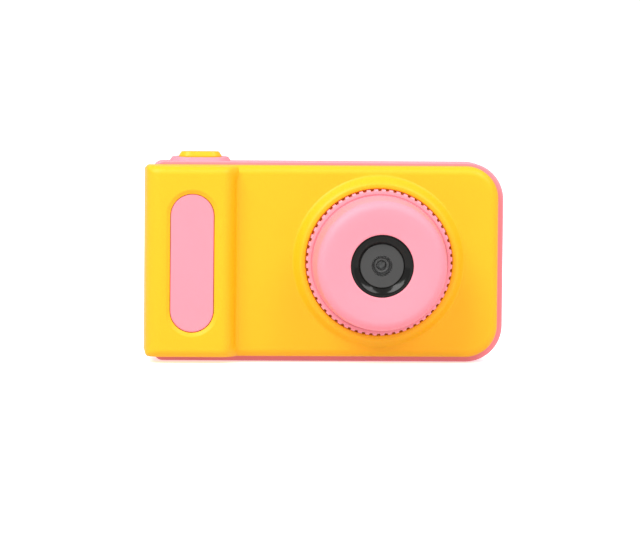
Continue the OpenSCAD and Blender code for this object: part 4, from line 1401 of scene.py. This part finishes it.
colours = {
    "yellow": (0.95, 0.45, 0.006),
    "yellowShade": (0.93, 0.42, 0.005),
    "pink": (0.90, 0.275, 0.34),
    "pinkShade": (0.89, 0.262, 0.325),
    "ringPinkPaintedLight": (0.90, 0.325, 0.385),  # painted light: paler than the body's pink, though it is the same plastic, to offset the shade of the recess the ring sits in
    "power": (0.75, 0.09, 0.04),
    "black": (0.006, 0.006, 0.0055),
    "barrel": (0.03, 0.03, 0.03),
    "window": (0.1, 0.098, 0.094),
}
lensPlateLook = lensPlate("lensPlate")
barrelPaintedShadingLook = barrelMaterial("lensBarrelLook")
looks = {
    "front_plastic": plastic("yellowPlastic", colours["yellow"], colours["yellowShade"], 0.46, 0.04, scatter=0.1,
                             specular=0.32),
    "rear_plastic": plastic("pinkPlastic", colours["pink"], colours["pinkShade"], 0.48, 0.05, scatter=0.1,
                            specular=0.25),
    # painted light: the ring's pink is paler than the body's to offset the shade of its recess
    "ring": plastic("ringPlastic", colours["ringPinkPaintedLight"], None, 0.48, 0.05, scatter=0.1, specular=0.25),
    "button_plastic": plastic("buttonPlastic", colours["yellow"], None, 0.36, 0.04, scatter=0.1, specular=0.3),
    "power_plastic": plastic("powerPlastic", colours["power"], None, 0.32, 0.04),
    "black_plastic": plastic("blackPlastic", colours["black"], None, 0.14, 0.02, specular=0.22),
    "dull_plastic": plastic("dullPlastic", colours["barrel"], None, 0.55, 0.1),
    "dark_window": smoked("smokedWindow", colours["window"], 0.45, 0.05),
    # painted highlight: the lens glass gets a pale, mostly diffuse colour so that the middle of the lens shows
    # bright
    "lens": smoked("lensGlass", (0.86, 0.88, 0.9), 0.25, 0.08),
    "filter_glass": smoked("filterGlass", (0.45, 0.75, 0.8), 0.8, 0.04),
    "board": boardMaterial("circuitBoard"),
    "chip": plastic("chipResin", (0.018, 0.018, 0.02), None, 0.5, 0.15),
    "plated": metal("platedMetal", (0.74, 0.73, 0.7), 0.3, True),
    "screw_steel": metal("screwSteel", (0.5, 0.5, 0.52), 0.32),
    "passives": plastic("passives", (0.42, 0.32, 0.2), (0.2, 0.15, 0.1), 0.4, 0.1, variation=0.9),
    "sockets": plastic("socketPlastic", (0.78, 0.74, 0.64), None, 0.5, 0.1),
    "flex": plastic("flexFilm", (0.75, 0.3, 0.05), (0.6, 0.22, 0.04), 0.25, 0.05, variation=0.8),
    "lcd": plastic("lcdFilm", (0.02, 0.022, 0.03), None, 0.14, 0.02, coat=0.6),
    "backlight": plastic("backlight", (0.8, 0.8, 0.78), None, 0.3, 0.04),
    "foam": foamMaterial("foam", (0.05, 0.05, 0.052)),
    "pouch": metal("pouchFilm", (0.66, 0.67, 0.7), 0.42),
    "wire": plastic("wireSleeve", (0.5, 0.03, 0.02), None, 0.4, 0.05),
    "led": plastic("ledResin", (0.75, 0.9, 0.55), None, 0.2, 0.03),
    "pipe": smoked("lightPipe", (0.92, 0.95, 0.92), 0.8, 0.12),
    "card": plastic("cardPlastic", (0.03, 0.03, 0.034), None, 0.4, 0.08),
}
print("camera: materials", len(looks))


makeFrontShell(frontPlan, looks["front_plastic"])
makeRearShell(rearPlan, looks["rear_plastic"])
makeRing(ringPlan, looks["ring"])
makeCap(capPlan, looks["rear_plastic"])
makeBezel(bezelPlan, looks["black_plastic"])
makeWindow(windowPlan, lensPlateLook)
makeBarrel(barrelPlan, barrelPaintedShadingLook)
makeLens(lensPlan, looks["lens"])
makeInlay(inlayPlan, looks["rear_plastic"])
makeShutter(shutterPlan, looks["button_plastic"])
makeArrowKeys(keyPlan, looks["button_plastic"])
makeRoundKeys(keyPlan)
makeCover(coverPlan, looks["rear_plastic"])
makeScreenWindow(looks["dark_window"])
makeScrews(screwPlan, "shell_screws", shellSpots, looks["screw_steel"])
print("camera: pieces made")

for name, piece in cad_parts.items():
    look = looks[piece.data.materials[0].name.split(".")[0]]
    piece.data.materials.clear()
    piece.data.materials.append(look)
print("camera: materials on", len(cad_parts), "CAD nodes")


stagePlan = {
    "size": 3.0,
    "flat": 2.2,
    "bend": 0.5,
    "floor": (1.0, 1.0, 1.0),
    "bounce": (0.42, 0.41, 0.4),
    "glow": 0.5,
    "world": 0.66,
}


def makeStage(plan):
    # a floor that sweeps up into a back wall
    half, bend = plan["size"], plan["bend"]
    flat = plan["flat"]
    profile = [(-half, 0.0), (flat, 0.0)]
    profile += [(flat + bend * math.sin(math.radians(a)), bend * (1 - math.cos(math.radians(a))))
                for a in range(10, 91, 10)]
    profile += [(flat + bend, half)]
    verts = [(x, y, z - 0.0001) for y, z in profile for x in (-half, half)]
    faces = [(2 * k, 2 * k + 1, 2 * k + 3, 2 * k + 2) for k in range(len(profile) - 1)]
    mesh = bpy.data.meshes.new("studioSweep")
    mesh.from_pydata(verts, [], faces)
    for face in mesh.polygons:
        face.use_smooth = True
    mat, tree, shader, coords = newMaterial("studioPaper")
    grain = noiseNode(tree, coords, 300, 3)
    path = tree.nodes.new("ShaderNodeLightPath")
    darker = tuple(v * 0.985 for v in plan["floor"])
    seen = mixNode(tree, rangeNode(tree, grain, 0, 1), plan["floor"], darker)
    # the paper gives back less light than it shows, as a small sheet would
    tree.links.new(mixNode(tree, path.outputs["Is Camera Ray"], plan["bounce"], seen),
                   shader.inputs["Base Color"])
    shader.inputs["Emission Color"].default_value = (1, 1, 1, 1)
    shader.inputs["Emission Strength"].default_value = plan["glow"]
    shader.inputs["Roughness"].default_value = 0.9
    shader.inputs["Specular IOR Level"].default_value = 0.1
    mesh.materials.append(mat)
    sweep = bpy.data.objects.new("studioSweep", mesh)
    bpy.context.collection.objects.link(sweep)


lightPlan = {
    "keyLeft": {"place": (-0.48, -0.5, 0.72), "size": 0.6, "power": 9.0},
    "keyRight": {"place": (0.5, -0.46, 0.72), "size": 0.5, "power": 4.5},
}


def areaLight(name, plan, target):
    data = bpy.data.lights.new(name, "AREA")
    data.shape = "RECTANGLE"
    data.size, data.size_y = plan["size"], plan["size"]
    data.energy = plan["power"]
    lamp = bpy.data.objects.new(name, data)
    bpy.context.collection.objects.link(lamp)
    lamp.location = plan["place"]
    lamp.rotation_euler = (Vector(target) - Vector(plan["place"])).to_track_quat("-Z", "Y").to_euler()


makeStage(stagePlan)
for name, plan in lightPlan.items():
    areaLight(name, plan, (0, 0, midZ * mm))

world = bpy.data.worlds.new("studioWorld")
bpy.context.scene.world = world
world.use_nodes = True
background = next(n for n in world.node_tree.nodes if n.type == "BACKGROUND")
background.inputs["Color"].default_value = (1, 1, 1, 1)
background.inputs["Strength"].default_value = stagePlan["world"]

cameraPlan = {
    "azimuth": -3.1,
    "elevation": 4.4,
    "distance": 1.6,
    "roll": 0.55,
    "aim": (-0.0011, 0.0, 0.0222),
    "widthSeen": 0.1481,  # how wide the view is at the object
}


def makeCamera(plan):
    data = bpy.data.cameras.new("camera")
    data.sensor_width = 36
    data.lens = 36 * plan["distance"] / plan["widthSeen"]
    data.clip_start, data.clip_end = 0.01, 20
    cam = bpy.data.objects.new("camera", data)
    bpy.context.collection.objects.link(cam)
    az, el = math.radians(plan["azimuth"]), math.radians(plan["elevation"])
    away = Vector((math.sin(az) * math.cos(el), -math.cos(az) * math.cos(el), math.sin(el)))
    aim = Vector(plan["aim"])
    cam.location = aim + away * plan["distance"]
    look = (-away).to_track_quat("-Z", "Y").to_matrix()
    cam.rotation_euler = (look @ Matrix.Rotation(math.radians(plan["roll"]), 3, "Z")).to_euler()
    bpy.context.scene.camera = cam


makeCamera(cameraPlan)
bpy.context.scene.view_settings.view_transform = "Standard"
bpy.context.scene.view_settings.look = "None"
